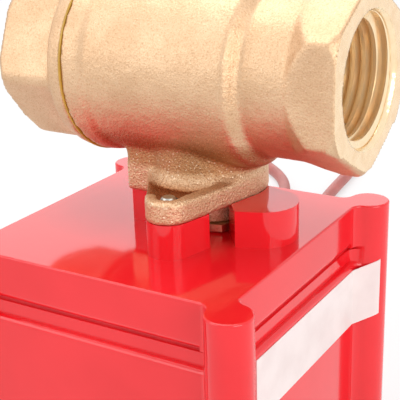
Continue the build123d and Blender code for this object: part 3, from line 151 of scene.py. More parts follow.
class Graph:
    """A node tree built in code, with one way to add a node."""

    def __init__(self, tree: bpy.types.NodeTree) -> None:
        """Starts from an empty tree."""
        self.tree = tree
        self.tree.nodes.clear()

    def give(self, socket: bpy.types.NodeSocket, value: Given) -> None:
        """Links a value to a socket, or writes a constant there."""
        if isinstance(value, Value):
            self.tree.links.new(value.socket, socket)
        else:
            socket.default_value = value

    def node(self, kind: str, settings: dict[str, object] | None = None,
             sockets: dict[int | str, Given | list[Value]] | None = None, out: int | str = 0) -> Value:
        """Adds any node.

        Args:
            kind: the node's type; one without the word Node is a shader node's last words.
            settings: its properties.
            sockets: a value or link for each socket, by name or number; a list makes several links to one.
            out: which output to hand back.

        Returns:
            The chosen output.
        """
        made = self.tree.nodes.new(kind if "Node" in kind else "ShaderNode" + kind)
        for key, value in (settings or {}).items():
            setattr(made, key, value)
        for key, value in (sockets or {}).items():
            for one in value if isinstance(value, list) else [value]:
                self.give(made.inputs[key], one)
        return Value(self, made.outputs[out])

    def maths(self, operation: str, *values: Value | float) -> Value:
        """One Math node."""
        return self.node("Math", {"operation": operation}, dict(enumerate(values)))

    def apart(self, vector: Value) -> tuple[Value, Value, Value]:
        """A vector's three numbers."""
        split = self.node("SeparateXYZ", sockets={"Vector": vector})
        outputs = split.socket.node.outputs
        return split, Value(self, outputs["Y"]), Value(self, outputs["Z"])

    def together(self, x: Value | float, y: Value | float, z: Value | float) -> Value:
        """A vector of three numbers."""
        return self.node("CombineXYZ", sockets={"X": x, "Y": y, "Z": z})

    def between(self, value: Value, low: float, high: float, to_low: Value | float = 0.0,
                to_high: Value | float = 1.0) -> Value:
        """A value stretched from one span to another and kept inside it."""
        sockets = {"Value": value, "From Min": low, "From Max": high, "To Min": to_low, "To Max": to_high}
        return self.node("MapRange", {"clamp": True}, sockets)

    def ray(self, kind: str) -> Value:
        """1 for light paths of one kind, such as Camera or Glossy, and 0 for others."""
        return self.node("LightPath", out=f"Is {kind} Ray")

    def end(self, kind: str, surface: Value) -> None:
        """Ends a tree in an output node of that kind."""
        self.give(self.tree.nodes.new(kind).inputs["Surface"], surface)


class Shader(Graph):
    """One material, built from the ground up round a Principled surface."""

    def __init__(self, name: str, **surface: float | Colour) -> None:
        """Starts the material.

        Args:
            name: the material's name.
            surface: values for the surface's own sockets, with underscores for spaces.
        """
        self.material = bpy.data.materials.new(name)
        self.material.use_nodes = True
        super().__init__(self.material.node_tree)
        surface_out = self.node("BsdfPrincipled")
        self.surface = surface_out.socket.node
        self.end("ShaderNodeOutputMaterial", surface_out)
        for key, value in surface.items():
            self.set(key.replace("_", " "), value)

    def set(self, socket: str, value: Value | float | Colour) -> None:
        """Gives one of the surface's sockets a value or a link."""
        self.give(self.surface.inputs[socket], value)

    def place(self) -> Value:
        """Where on the piece the surface is, in the piece's own metres."""
        return self.node("TexCoord", out="Object")

    def from_pipe(self) -> Value:
        """How far the surface is from the pipe's axis, in metres."""
        _, y, z = self.apart(self.place())
        return self.maths("SQRT", y * y + (z - PIPE_Z * MM) ** 2)

    def grain(self, size: float, detail: float = 2.0, rough: float = 0.5, warp: float = 0.0) -> Value:
        """Noise of a real size.

        Args:
            size: the width of one grain, in millimetres.
            detail: how many finer layers it has.
            rough: how strong those layers are.
            warp: how far it is pulled about.

        Returns:
            A value about a half.
        """
        sockets = {"Vector": self.place(), "Scale": 1 / (size * MM), "Detail": detail, "Roughness": rough,
                   "Distortion": warp}
        return self.node("TexNoise", {"noise_dimensions": "3D"}, sockets)

    def cells(self, size: float) -> Value:
        """The distance to the nearest of scattered points, of a real spacing in millimetres."""
        sockets = {"Vector": self.place(), "Scale": 1 / (size * MM)}
        return self.node("TexVoronoi", {"feature": "F1"}, sockets)

    def blend(self, amount: Value | float, first: Value | Colour, second: Value | Colour) -> Value:
        """A colour between two others."""
        return self.node("Mix", {"data_type": "RGBA"}, {"Factor": amount, 6: first, 7: second}, out=2)

    def bump(self, height: Value, strength: float, depth: float) -> None:
        """Roughens the surface by a relief from 0 to 1, of a strength and a full depth in millimetres."""
        sockets = {"Height": height, "Strength": strength, "Distance": depth * MM}
        self.set("Normal", self.node("Bump", sockets=sockets))


class Recipe(Graph):
    """A Geometry Nodes tree with named sizes in millimetres, that ends in plain, dressed mesh."""

    def __init__(self, name: str, sizes: dict[str, float]) -> None:
        """Starts the tree.

        Args:
            name: the tree's name.
            sizes: the named inputs and their usual sizes.
        """
        super().__init__(bpy.data.node_groups.new(name, "GeometryNodeTree"))
        face = self.tree.interface
        face.new_socket("Mesh", in_out="OUTPUT", socket_type="NodeSocketGeometry")
        face.new_socket("Start", in_out="INPUT", socket_type="NodeSocketGeometry")
        self.named: dict[str, str] = {}
        for key, size in sizes.items():
            socket = face.new_socket(key, in_out="INPUT", socket_type="NodeSocketFloat")
            socket.default_value = size
            self.named[key] = socket.identifier
        self.group_in = self.tree.nodes.new("NodeGroupInput")
        self.group_out = self.tree.nodes.new("NodeGroupOutput")

    def sizes(self) -> list[Value]:
        """The named inputs, in order."""
        return [Value(self, self.group_in.outputs[key]) for key in self.named]

    def sheet(self, along: int, across: int) -> tuple[Value, Value, Value]:
        """A flat sheet of corners.

        Args:
            along: how many faces it has one way.
            across: how many it has the other way.

        Returns:
            The sheet, and how far along and across each corner is, from 0 to 1.
        """
        grid = self.node("GeometryNodeMeshGrid", sockets={
            "Size X": 1.0, "Size Y": 1.0, "Vertices X": along + 1, "Vertices Y": across + 1})
        x, y, _ = self.apart(self.node("GeometryNodeInputPosition"))
        return grid, x + 0.5, y + 0.5

    def bent(self, sheet: Value, x: Value, y: Value, z: Value) -> Value:
        """The sheet with its corners put at places in millimetres and its seams and poles joined."""
        place = self.together(x * MM, y * MM, z * MM)
        moved = self.node("GeometryNodeSetPosition", sockets={"Geometry": sheet, "Position": place})
        sockets = {"Geometry": moved, "Distance": SHEET_SEAM * MM}
        return self.node("GeometryNodeMergeByDistance", sockets=sockets)

    def wound(self, sheet: Value, radius: Value, angle: Value, height: Value) -> Value:
        """The sheet with its corners put at a radius from Z, an angle round it and a height along it."""
        x = radius * self.maths("COSINE", angle)
        return self.bent(sheet, x, radius * self.maths("SINE", angle), height)

    def turned(self, points: Sequence[tuple[Value | float, Value | float]], steps: int = 40) -> Value:
        """A solid turned about Z.

        Args:
            points: its (radius, height) points, from pole to pole.
            steps: how many faces go round it.

        Returns:
            The mesh.
        """
        sheet, along, across = self.sheet(len(points) - 1, steps)
        row = along * float(len(points) - 1)
        radius: Value | float = points[0][0]
        height: Value | float = points[0][1]
        for i, (here, there) in enumerate(zip(points, points[1:])):
            share = self.between(row, float(i), float(i + 1))
            radius = share * (there[0] - here[0]) + radius
            height = share * (there[1] - here[1]) + height
        angle = across * TURN
        return self.wound(sheet, radius, angle, height)

    def thread(self, steps: int, turns: Value, pitch: Value, root: Value, crest: Value) -> Value:
        """A thread's ridge that winds up Z and fades out at both ends.

        Args:
            steps: how many faces it has along it.
            turns: how many times it goes round.
            pitch: how far it climbs each time.
            root: the radius of its foot.
            crest: the radius of its crest, larger or smaller than the foot's.

        Returns:
            The mesh.
        """
        fade = 0.1
        sheet, along, across = self.sheet(steps, 4)
        shown = self.between(along, 0.0, fade) * self.between(along, 1.0, 1.0 - fade)
        flank = self.maths("FRACT", across)
        rise = self.between(0.375 - self.maths("ABSOLUTE", flank - 0.375), 0.0, 0.25)
        aside = (1.0 - flank / 0.375) * pitch * 0.46 * shown
        radius = root + (crest - root) * rise * shown
        angle = along * turns * TURN
        height = along * turns * pitch + aside
        return self.wound(sheet, radius, angle, height)

    def real(self, x: Value | float, y: Value | float, z: Value | float) -> Value:
        """A vector in metres from three numbers in millimetres."""
        return self.node("VectorMath", {"operation": "SCALE"}, {0: self.together(x, y, z), "Scale": MM})

    def block(self, x: Value | float, y: Value | float, z: Value | float) -> Value:
        """A block about the origin, with its sizes in millimetres."""
        return self.node("GeometryNodeMeshCube", sockets={"Size": self.real(x, y, z)})

    def moved(self, mesh: Value, z: Value | float) -> Value:
        """A mesh lifted by a height in millimetres."""
        sockets = {"Geometry": mesh, "Translation": self.real(0.0, 0.0, z)}
        return self.node("GeometryNodeTransform", sockets=sockets)

    def copied(self, mesh: Value, rotation: Value | Point = (0.0, 0.0, 0.0)) -> Value:
        """A copy of a mesh at each point that the tree starts from."""
        points = Value(self, self.group_in.outputs["Start"])
        sockets = {"Points": points, "Instance": mesh, "Rotation": rotation}
        return self.node("GeometryNodeInstanceOnPoints", sockets=sockets)

    def serve(self, mesh: Value, material: bpy.types.Material) -> None:
        """Ends the tree in real geometry of one material."""
        real = self.node("GeometryNodeRealizeInstances", sockets={"Geometry": mesh})
        dressed = self.node("GeometryNodeSetMaterial", sockets={"Geometry": real, "Material": material})
        self.give(self.group_out.inputs["Mesh"], dressed)

    def grow(self, name: str, sizes: dict[str, float], starts: Sequence[Point] = ()) -> bpy.types.Object:
        """Runs the tree.

        Args:
            name: the new piece's name.
            sizes: values for the named inputs.
            starts: points that the tree works from, in millimetres.

        Returns:
            The piece, as plain mesh with its faces outwards.
        """
        obj = mesh_object(name, starts, [])
        modifier = obj.modifiers.new(self.tree.name, "NODES")
        modifier.node_group = self.tree
        for key, size in sizes.items():
            modifier[self.named[key]] = float(size)
        settle(obj)
        join_up(obj.data)
        return obj


# Finishes


@dataclass(frozen=True)
class CastBrass:
    """Sand-blasted cast brass with a fine grain, painted glints, and painted shade on the trunk under the
    barrel and in the front ear's pocket.
    """

    name: str = "cast_brass"
    light: Colour = srgb(228, 194, 158)
    deep: Colour = srgb(190, 148, 108)
    # Painted shade: the dark colour of the front ear's pocket and of the grit under the barrel.
    painted_hollow_shade: Colour = srgb(176, 118, 78)
    # Painted shade: the darker colour of the trunk under the barrel.
    painted_trunk_shade: Colour = srgb(184, 134, 90)
    # Painted highlight: the colour of the glint dots.
    painted_glint: Colour = srgb(255, 240, 216)
    # Where the painted shade on the trunk lies: its heights and side reach, in millimetres.
    trunk_from: Span = (56.0, 57.2)
    trunk_to: Span = (61.5, 64.0)
    trunk_side: Span = (14.0, 15.5)
    trunk_shade_share: float = 0.85
    # Painted highlight: how strongly the glint dots show everywhere, and how much more under the barrel.
    painted_sparkle: Span = (0.15, 0.75)
    grain: float = 0.26
    cloud: float = 6.0
    relief: float = 0.12

    def make(self) -> bpy.types.Material:
        """Builds the material."""
        s = Shader(self.name, Metallic=1.0)
        cloud = s.between(s.grain(self.cloud, 3, 0.5), 0.35, 0.65, 0.0, 0.3)
        grit = s.grain(self.grain, 2, 0.7)
        colour = s.blend(cloud, self.light, self.deep)
        colour = s.blend(s.between(grit, 0.52, 0.72, 0.0, 0.6), colour, self.deep)
        x, _, z = s.apart(s.place())
        aside = s.maths("ABSOLUTE", x)
        # below marks the trunk under the barrel: painted shade darkens its colour there, and its grit is
        # also rougher.
        below = s.between(z, self.trunk_to[1] * MM, self.trunk_to[0] * MM)
        below = below * s.between(aside, self.trunk_side[1] * MM, self.trunk_side[0] * MM)
        trunk = below * s.between(z, self.trunk_from[0] * MM, self.trunk_from[1] * MM)
        # Painted shade on the trunk under the barrel.
        colour = s.blend(trunk * self.trunk_shade_share, colour, self.painted_trunk_shade)
        # Painted shade: dark grit speckles under the barrel.
        colour = s.blend(below * s.between(grit, 0.52, 0.66, 0.0, 0.6), colour, self.painted_hollow_shade)
        # Painted highlights: bright glint dots near scattered points, more of them under the barrel.
        spark = s.between(s.cells(2.2 * self.grain), 0.34, 0.16) * s.between(grit, 0.5, 0.4)
        colour = s.blend(spark * (self.painted_sparkle[0] + below * self.painted_sparkle[1]), colour, self.painted_glint)
        # Painted shade: the front ear's pocket is coloured dark, and its surface is also glossier.
        pocket = s.node("Attribute", {"attribute_name": POCKET}, out="Fac")
        s.set("Base Color", s.blend(pocket, colour, self.painted_hollow_shade))
        shine = (1.0 - pocket * 0.5) * (1.0 - spark * below * 0.4)
        s.set("Roughness", s.between(grit, 0.3, 0.7, 0.42, 0.6) * shine)
        s.bump((grit + s.cells(1.7 * self.grain) * 0.5) * (1.0 + below * 1.2), 0.6, self.relief)
        return s.material


@dataclass(frozen=True)
class TurnedBrass:
    """Machined brass with fine rings about the pipe's axis."""

    name: str = "turned_brass"
    light: Colour = srgb(254, 224, 184)
    deep: Colour = srgb(240, 200, 152)
    ring: float = 0.3
    roughness: float = 0.22
    metal: float = 0.82

    def make(self) -> bpy.types.Material:
        """Builds the material."""
        s = Shader(self.name, Metallic=self.metal)
        wear = s.grain(2.4, 3, 0.6)
        rings = s.maths("SINE", s.from_pipe() * (TURN / (self.ring * MM)))
        s.set("Base Color", s.blend(s.between(wear, 0.4, 0.7, 0.0, 0.5), self.light, self.deep))
        s.set("Roughness", s.between(wear, 0.3, 0.7, self.roughness, self.roughness + 0.1))
        s.bump(s.between(rings, -1.0, 1.0), 0.15, 0.006)
        return s.material


@dataclass(frozen=True)
class Plated:
    """A plain metal: plated, drawn or polished."""

    name: str
    colour: Colour
    roughness: float = 0.3
    grain: float = 0.5
    relief: float = 0.01
    shade: float = 0.72

    def make(self) -> bpy.types.Material:
        """Builds the material."""
        s = Shader(self.name, Metallic=1.0)
        wear = s.grain(self.grain, 3, 0.6)
        worn = s.between(wear, 0.5, 0.8)
        s.set("Base Color", s.blend(worn, self.colour, shaded(self.colour, self.shade)))
        s.set("Roughness", s.between(wear, 0.3, 0.7, self.roughness, self.roughness + 0.12))
        s.bump(wear, 0.3, self.relief)
        return s.material


@dataclass(frozen=True)
class GlossRed:
    """Glossy red moulded plastic with a few faint rubs."""

    name: str = "gloss_red"
    colour: Colour = srgb(240, 30, 40)
    deep: Colour = srgb(233, 24, 34)
    roughness: float = 0.08

    def make(self) -> bpy.types.Material:
        """Builds the material."""
        s = Shader(self.name, IOR=1.58)
        cloud = s.grain(16, 2, 0.5)
        s.set("Base Color", s.blend(s.between(cloud, 0.35, 0.65), self.colour, self.deep))
        rub = s.between(s.grain(3.2, 5, 0.7, 0.6), 0.6, 0.78)
        s.set("Roughness", s.between(rub, 0.0, 1.0, self.roughness, self.roughness + 0.1))
        s.bump(s.grain(1.4, 2, 0.4), 0.1, 0.012)
        return s.material


@dataclass(frozen=True)
class Moulded:
    """A plain moulded plastic or rubber."""

    name: str
    colour: Colour
    roughness: float = 0.5
    grain: float = 0.3
    relief: float = 0.02
    shade: float = 0.8

    def make(self) -> bpy.types.Material:
        """Builds the material."""
        s = Shader(self.name)
        cloud = s.grain(6, 2, 0.5)
        clouded = s.between(cloud, 0.35, 0.7)
        s.set("Base Color", s.blend(clouded, self.colour, shaded(self.colour, self.shade)))
        fine = s.grain(self.grain, 2, 0.6)
        s.set("Roughness", s.between(fine, 0.3, 0.7, self.roughness - 0.06, self.roughness + 0.08))
        s.bump(fine, 0.3, self.relief)
        return s.material


@dataclass(frozen=True)
class LabelFilm:
    """White label film, left blank, with a faint ripple."""

    name: str = "label_film"
    colour: Colour = srgb(243, 230, 227)
    shade: Colour = srgb(236, 221, 218)

    def make(self) -> bpy.types.Material:
        """Builds the material."""
        s = Shader(self.name)
        s.set("Base Color", s.blend(s.between(s.grain(5, 3, 0.5), 0.4, 0.7), self.colour, self.shade))
        s.set("Roughness", s.between(s.grain(0.8, 2), 0.3, 0.7, 0.36, 0.46))
        s.bump(s.grain(4, 2, 0.4), 0.25, 0.06)
        return s.material


@dataclass(frozen=True)
class CircuitBoard:
    """Green solder mask with darker tracks under it."""

    name: str = "board_laminate"
    mask: Colour = srgb(28, 96, 48)
    track: Colour = srgb(20, 70, 38)
    spacing: Span = (2.4, 7.0)

    def make(self) -> bpy.types.Material:
        """Builds the material."""
        s = Shader(self.name, Coat_Roughness=0.1)
        x, y, _ = s.apart(s.place())
        wander = s.grain(6, 1, 0.3) * (4 * MM)
        lines = s.maths("SINE", (x + wander) * (TURN / (self.spacing[0] * MM)))
        lines = lines * s.maths("SINE", (y + wander) * (TURN / (self.spacing[1] * MM)))
        s.set("Base Color", s.blend(s.between(lines, 0.1, 0.3), self.mask, self.track))
        s.set("Roughness", s.between(lines, 0.0, 1.0, 0.34, 0.42))
        s.bump(s.between(lines, 0.1, 0.3), 0.4, 0.03)
        return s.material


class Finishes:
    """All the finishes of the valve, each made once and found by its name."""

    def __init__(self) -> None:
        """Makes the materials."""
        kinds = [
            CastBrass(),
            TurnedBrass(),
            TurnedBrass("bar_brass", srgb(236, 200, 154), srgb(206, 164, 116), 0.4, 0.26),
            # Painted light: cut brass for the port and its thread, its colour lifted to make up for the
            # shade inside the bore.
            TurnedBrass("cut_brass_painted_bright", srgb(255, 232, 192), srgb(255, 214, 166), 0.3, 0.13, 0.7),
            # Painted light: sandy brass, its colour lifted to make up for the packing nut's shade in the
            # slot.
            Plated("sandy_brass", srgb(246, 214, 178), 0.34, 0.3, 0.3),
            Moulded("thread_sealant", srgb(206, 160, 62), 0.4, 0.4, 0.08),
            Plated("chromed_ball", srgb(222, 222, 226), 0.05, 2.0, 0.0005, 0.96),
            Moulded("seat_plastic", srgb(240, 240, 236), 0.36),
            Moulded("seal_rubber", srgb(24, 24, 24), 0.55),
            Plated("screw_steel", srgb(190, 188, 180), 0.28),
            GlossRed(),
            Moulded("dark_gasket", srgb(214, 28, 38), 0.5, 0.5, 0.05),
            LabelFilm(),
            Moulded("gear_nylon", srgb(234, 230, 216), 0.4),
            Plated("gear_steel", srgb(150, 150, 152), 0.34, 0.3),
            Plated("plate_steel", srgb(186, 188, 186), 0.3, 0.8),
            Plated("motor_steel", srgb(196, 196, 192), 0.24, 1.2),
            Moulded("black_plastic", srgb(28, 28, 30), 0.42),
            Plated("tinned_metal", srgb(206, 206, 204), 0.3, 0.4, 0.02),
            Moulded("magnet", srgb(48, 48, 50), 0.6, 0.3, 0.05),
            Plated("rotor_copper", srgb(190, 110, 62), 0.3, 0.3, 0.04),
            Plated("spring_steel", srgb(206, 204, 198), 0.2, 0.8, 0.004),
            Moulded("plunger_plastic", srgb(198, 40, 34), 0.36),
            Moulded("wire_jacket", srgb(44, 52, 140), 0.4),
            CircuitBoard(),
            Moulded("relay_plastic", srgb(26, 62, 132), 0.34),
            Moulded("capacitor_sleeve", srgb(30, 34, 54), 0.3),
            Moulded("block_plastic", srgb(40, 128, 62), 0.38),
            Moulded("grommet_rubber", srgb(36, 28, 28), 0.55, 0.3, 0.03),
            Moulded("cable_jacket", srgb(188, 100, 92), 0.42, 0.35, 0.04),
            Moulded("red_wire", srgb(206, 36, 30), 0.4),
            Moulded("black_wire", srgb(30, 30, 30), 0.4),
        ]
        self.materials = {kind.name: kind.make() for kind in kinds}

    def __getitem__(self, name: str) -> bpy.types.Material:
        """The material of that name."""
        return self.materials[name]


# Meshes


def join_up(mesh: bpy.types.Mesh, fuse: float = 0.0, outward: bool = True) -> None:
    """Mends a mesh's seams and its faces' directions.

    Args:
        mesh: the mesh.
        fuse: how near two corners are made one, in millimetres; none are at 0.
        outward: whether its faces are turned outwards.
    """
    work = bmesh.new()
    work.from_mesh(mesh)
    if fuse:
        bmesh.ops.remove_doubles(work, verts=work.verts, dist=fuse * MM)
    if outward:
        bmesh.ops.recalc_face_normals(work, faces=work.faces)
    work.to_mesh(mesh)
    work.free()


def put_in_scene(name: str, data: bpy.types.ID) -> bpy.types.Object:
    """A new object in the scene, at the origin."""
    obj = bpy.data.objects.new(name, data)
    bpy.context.scene.collection.objects.link(obj)
    return obj


def mesh_object(name: str, points: Sequence[Point], faces: Sequence[Sequence[int]]) -> bpy.types.Object:
    """A new object from points in millimetres.

    Args:
        name: the piece's name.
        points: its corners.
        faces: the corners of each face, seen from outside, anticlockwise.

    Returns:
        The object, with its faces outwards.
    """
    mesh = bpy.data.meshes.new(name)
    mesh.from_pydata([tuple(c * MM for c in p) for p in points], [], faces)
    join_up(mesh, OWN_SEAM)
    return put_in_scene(name, mesh)


def soften(obj: bpy.types.Object, sharp: float = 32.0) -> bpy.types.Object:
    """Shades a piece smooth, but for edges sharper than an angle in degrees."""
    obj.data.shade_smooth()
    obj.data.set_sharp_from_angle(angle=math.radians(sharp))
    weighted = obj.modifiers.new("flat_faces_stay_flat", "WEIGHTED_NORMAL")
    weighted.keep_sharp = True
    return obj


def carried_copy(source: bpy.types.Object, name: str) -> bpy.types.Object:
    """A joined-up copy of a frame node's loose triangles.

    Args:
        source: the frame's node.
        name: the copy's name.

    Returns:
        The copy.
    """
    mesh = source.data.copy()
    mesh.name = name
    mesh.materials.clear()
    if mesh.has_custom_normals:
        mesh.attributes.remove(mesh.attributes["custom_normal"])
    join_up(mesh, FRAME_SEAM, outward=False)
    return put_in_scene(name, mesh)


def settle(obj: bpy.types.Object) -> None:
    """Turns an object's modifiers into plain mesh and takes them off."""
    bpy.context.view_layer.update()
    seen = obj.evaluated_get(bpy.context.evaluated_depsgraph_get())
    mesh = bpy.data.meshes.new_from_object(seen)
    mesh.name = obj.name
    obj.modifiers.clear()
    obj.data = mesh


def corners_of(mesh: bpy.types.Mesh) -> np.ndarray:
    """A mesh's corners in millimetres, one row each."""
    flat = np.empty(3 * len(mesh.vertices))
    mesh.vertices.foreach_get("co", flat)
    return flat.reshape(-1, 3) / MM


def put_corners(mesh: bpy.types.Mesh, corners: np.ndarray) -> None:
    """Writes corners in millimetres back to a mesh."""
    mesh.vertices.foreach_set("co", (corners * MM).ravel())
    mesh.update()


def relax(mesh: bpy.types.Mesh, passes: int, amount: np.ndarray) -> None:
    """Draws each corner towards the middle of its neighbours.

    Args:
        mesh: the mesh.
        passes: how many times.
        amount: how far each corner goes each time, from 0 to 1.
    """
    pairs = np.empty(2 * len(mesh.edges), dtype=np.int64)
    mesh.edges.foreach_get("vertices", pairs)
    ends = pairs.reshape(-1, 2)
    here = np.concatenate([ends[:, 0], ends[:, 1]])
    there = np.concatenate([ends[:, 1], ends[:, 0]])
    count = np.bincount(here, minlength=len(mesh.vertices))[:, None]
    corners = corners_of(mesh)
    for _ in range(passes):
        around = np.stack([np.bincount(here, corners[there, k], len(corners)) for k in range(3)], axis=1)
        corners += amount[:, None] * (around / np.maximum(count, 1) - corners)
    put_corners(mesh, corners)


def dress(obj: bpy.types.Object, material: bpy.types.Material | None = None,
          body: Body = Body.HOUSING, stands_for: Sequence[str] = ()) -> None:
    """Finishes a piece and hands it to the frame.

    Args:
        obj: the piece.
        material: what it is made of, where it has nothing on yet.
        body: what it moves with.
        stands_for: the frame's nodes that it replaces.
    """
    if material:
        obj.data.materials.append(material)
    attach(obj, body.value)
    if stands_for:
        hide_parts(*stands_for)
    count = len(obj.data.polygons) if obj.type == "MESH" else 0
    LOG.info("%s: %d faces, on %s", obj.name, count, body.value)


# The photograph's view and the room


@dataclass(frozen=True)
class PhotographView:
    """The camera that took the photograph."""

    place: Point = (83.04, -138.93, 107.59)
    azimuth: float = 31.47
    elevation: float = 19.90
    roll: float = -1.73
    focal_pixels: float = 986.01
    image_pixels: int = 400
    sensor: float = 36.0

    def make(self) -> None:
        """Sets up the camera and makes it the scene's."""
        around, up_by, tilt = (math.radians(a) for a in (self.azimuth, self.elevation, self.roll))
        flat = math.cos(up_by)
        back = Vector((math.sin(around) * flat, -math.cos(around) * flat, math.sin(up_by)))
        level = Vector((0, 0, 1)).cross(back).normalized()
        upright = back.cross(level)
        right = math.cos(tilt) * level + math.sin(tilt) * upright
        up = math.cos(tilt) * upright - math.sin(tilt) * level
        data = bpy.data.cameras.new("photograph_view")
        data.sensor_width = self.sensor
        data.lens = self.focal_pixels * self.sensor / self.image_pixels
        data.clip_start = 1 * MM
        camera = put_in_scene("photograph_view", data)
        turn = Matrix((right, up, back)).transposed().to_4x4()
        camera.matrix_world = Matrix.Translation(Vector(self.place) * MM) @ turn
        bpy.context.scene.camera = camera


@dataclass(frozen=True)
class Lamp:
    """A soft square lamp that faces the valve."""

    name: str
    place: Point
    side: float
    power: float


@dataclass
class Studio:
    """A white room with soft lamps and a pale floor."""

    floor_half: float = 3000.0
    floor_colour: Colour = (0.92, 0.92, 0.92, 1.0)
    floor_glow: float = 0.6
    room_light: float = 0.62
    aim: Point = (0.0, 0.0, 50.0)
    lamps: list[Lamp] = field(default_factory=lambda: [
        Lamp("lamp_above", (-160.0, 60.0, 620.0), 460.0, 1.7),
        Lamp("lamp_front_left", (-420.0, -460.0, 330.0), 420.0, 0.95),
        Lamp("lamp_right", (560.0, -240.0, 260.0), 420.0, 1.6),
        Lamp("panel_behind", (-350.0, 560.0, 290.0), 520.0, 0.65),
    ])

    def make(self) -> None:
        """Builds the room."""
        bpy.context.scene.view_settings.view_transform = "Standard"
        self.make_world()
        self.make_floor()
        for lamp in self.lamps:
            self.make_lamp(lamp)

    def make_world(self) -> None:
        """White to the eye and to reflections, and softer as light."""
        world = bpy.data.worlds.new("white_room")
        bpy.context.scene.world = world
        world.use_nodes = True
        graph = Graph(world.node_tree)
        seen = graph.ray("Camera") + graph.ray("Glossy") + graph.ray("Transmission")
        strength = graph.between(seen, 0.0, 1.0, self.room_light)
        sky = graph.node("Background", sockets={"Color": WHITE, "Strength": strength})
        graph.end("ShaderNodeOutputWorld", sky)

    def make_floor(self) -> None:
        """The pale floor, white to the eye but for the valve's shadow."""
        half = self.floor_half
        corners = [(-half, -half, 0), (half, -half, 0), (half, half, 0), (-half, half, 0)]
        floor = mesh_object("floor", corners, [(0, 1, 2, 3)])
        material = bpy.data.materials.new("pale_floor")
        material.use_nodes = True
        graph = Graph(material.node_tree)
        matt = graph.node("BsdfDiffuse", sockets={"Color": self.floor_colour})
        glow = graph.node("Emission", sockets={"Color": WHITE})
        share = graph.maths("MAXIMUM", graph.ray("Camera") * self.floor_glow, graph.ray("Glossy"))
        mixed = graph.node("MixShader", sockets={"Fac": share, 1: matt, 2: glow})
        graph.end("ShaderNodeOutputMaterial", mixed)
        floor.data.materials.append(material)

    def make_lamp(self, lamp: Lamp) -> None:
        """One soft lamp, turned to the valve."""
        data = bpy.data.lights.new(lamp.name, "AREA")
        data.shape = "SQUARE"
        data.size = lamp.side * MM
        data.energy = lamp.power
        obj = put_in_scene(lamp.name, data)
        obj.location = Vector(lamp.place) * MM
        obj.rotation_euler = (Vector(self.aim) - Vector(lamp.place)).to_track_quat("-Z", "Y").to_euler()


# The brass valve


def ramp(distance: np.ndarray, width: float, least: float = 0.0) -> np.ndarray:
    """A distance as a share of a width, kept between a least share and 1."""
    return np.clip(distance / width, least, 1.0)


def from_pipe(corners: np.ndarray) -> np.ndarray:
    """How far each corner is from the pipe's axis."""
    return np.hypot(corners[:, 1], corners[:, 2] - PIPE_Z)


def from_stem(corners: np.ndarray) -> np.ndarray:
    """How far each corner is from the stem's axis."""
    return np.hypot(corners[:, 0], corners[:, 1])


def port_face(frame: dict, node: str, side: int) -> float:
    """Where along X a port's end face is: how far its node reaches to a side, 1 for right, -1 for left."""
    return side * round((side * corners_of(frame["nodes"][node].data)[:, 0]).max(), 2)


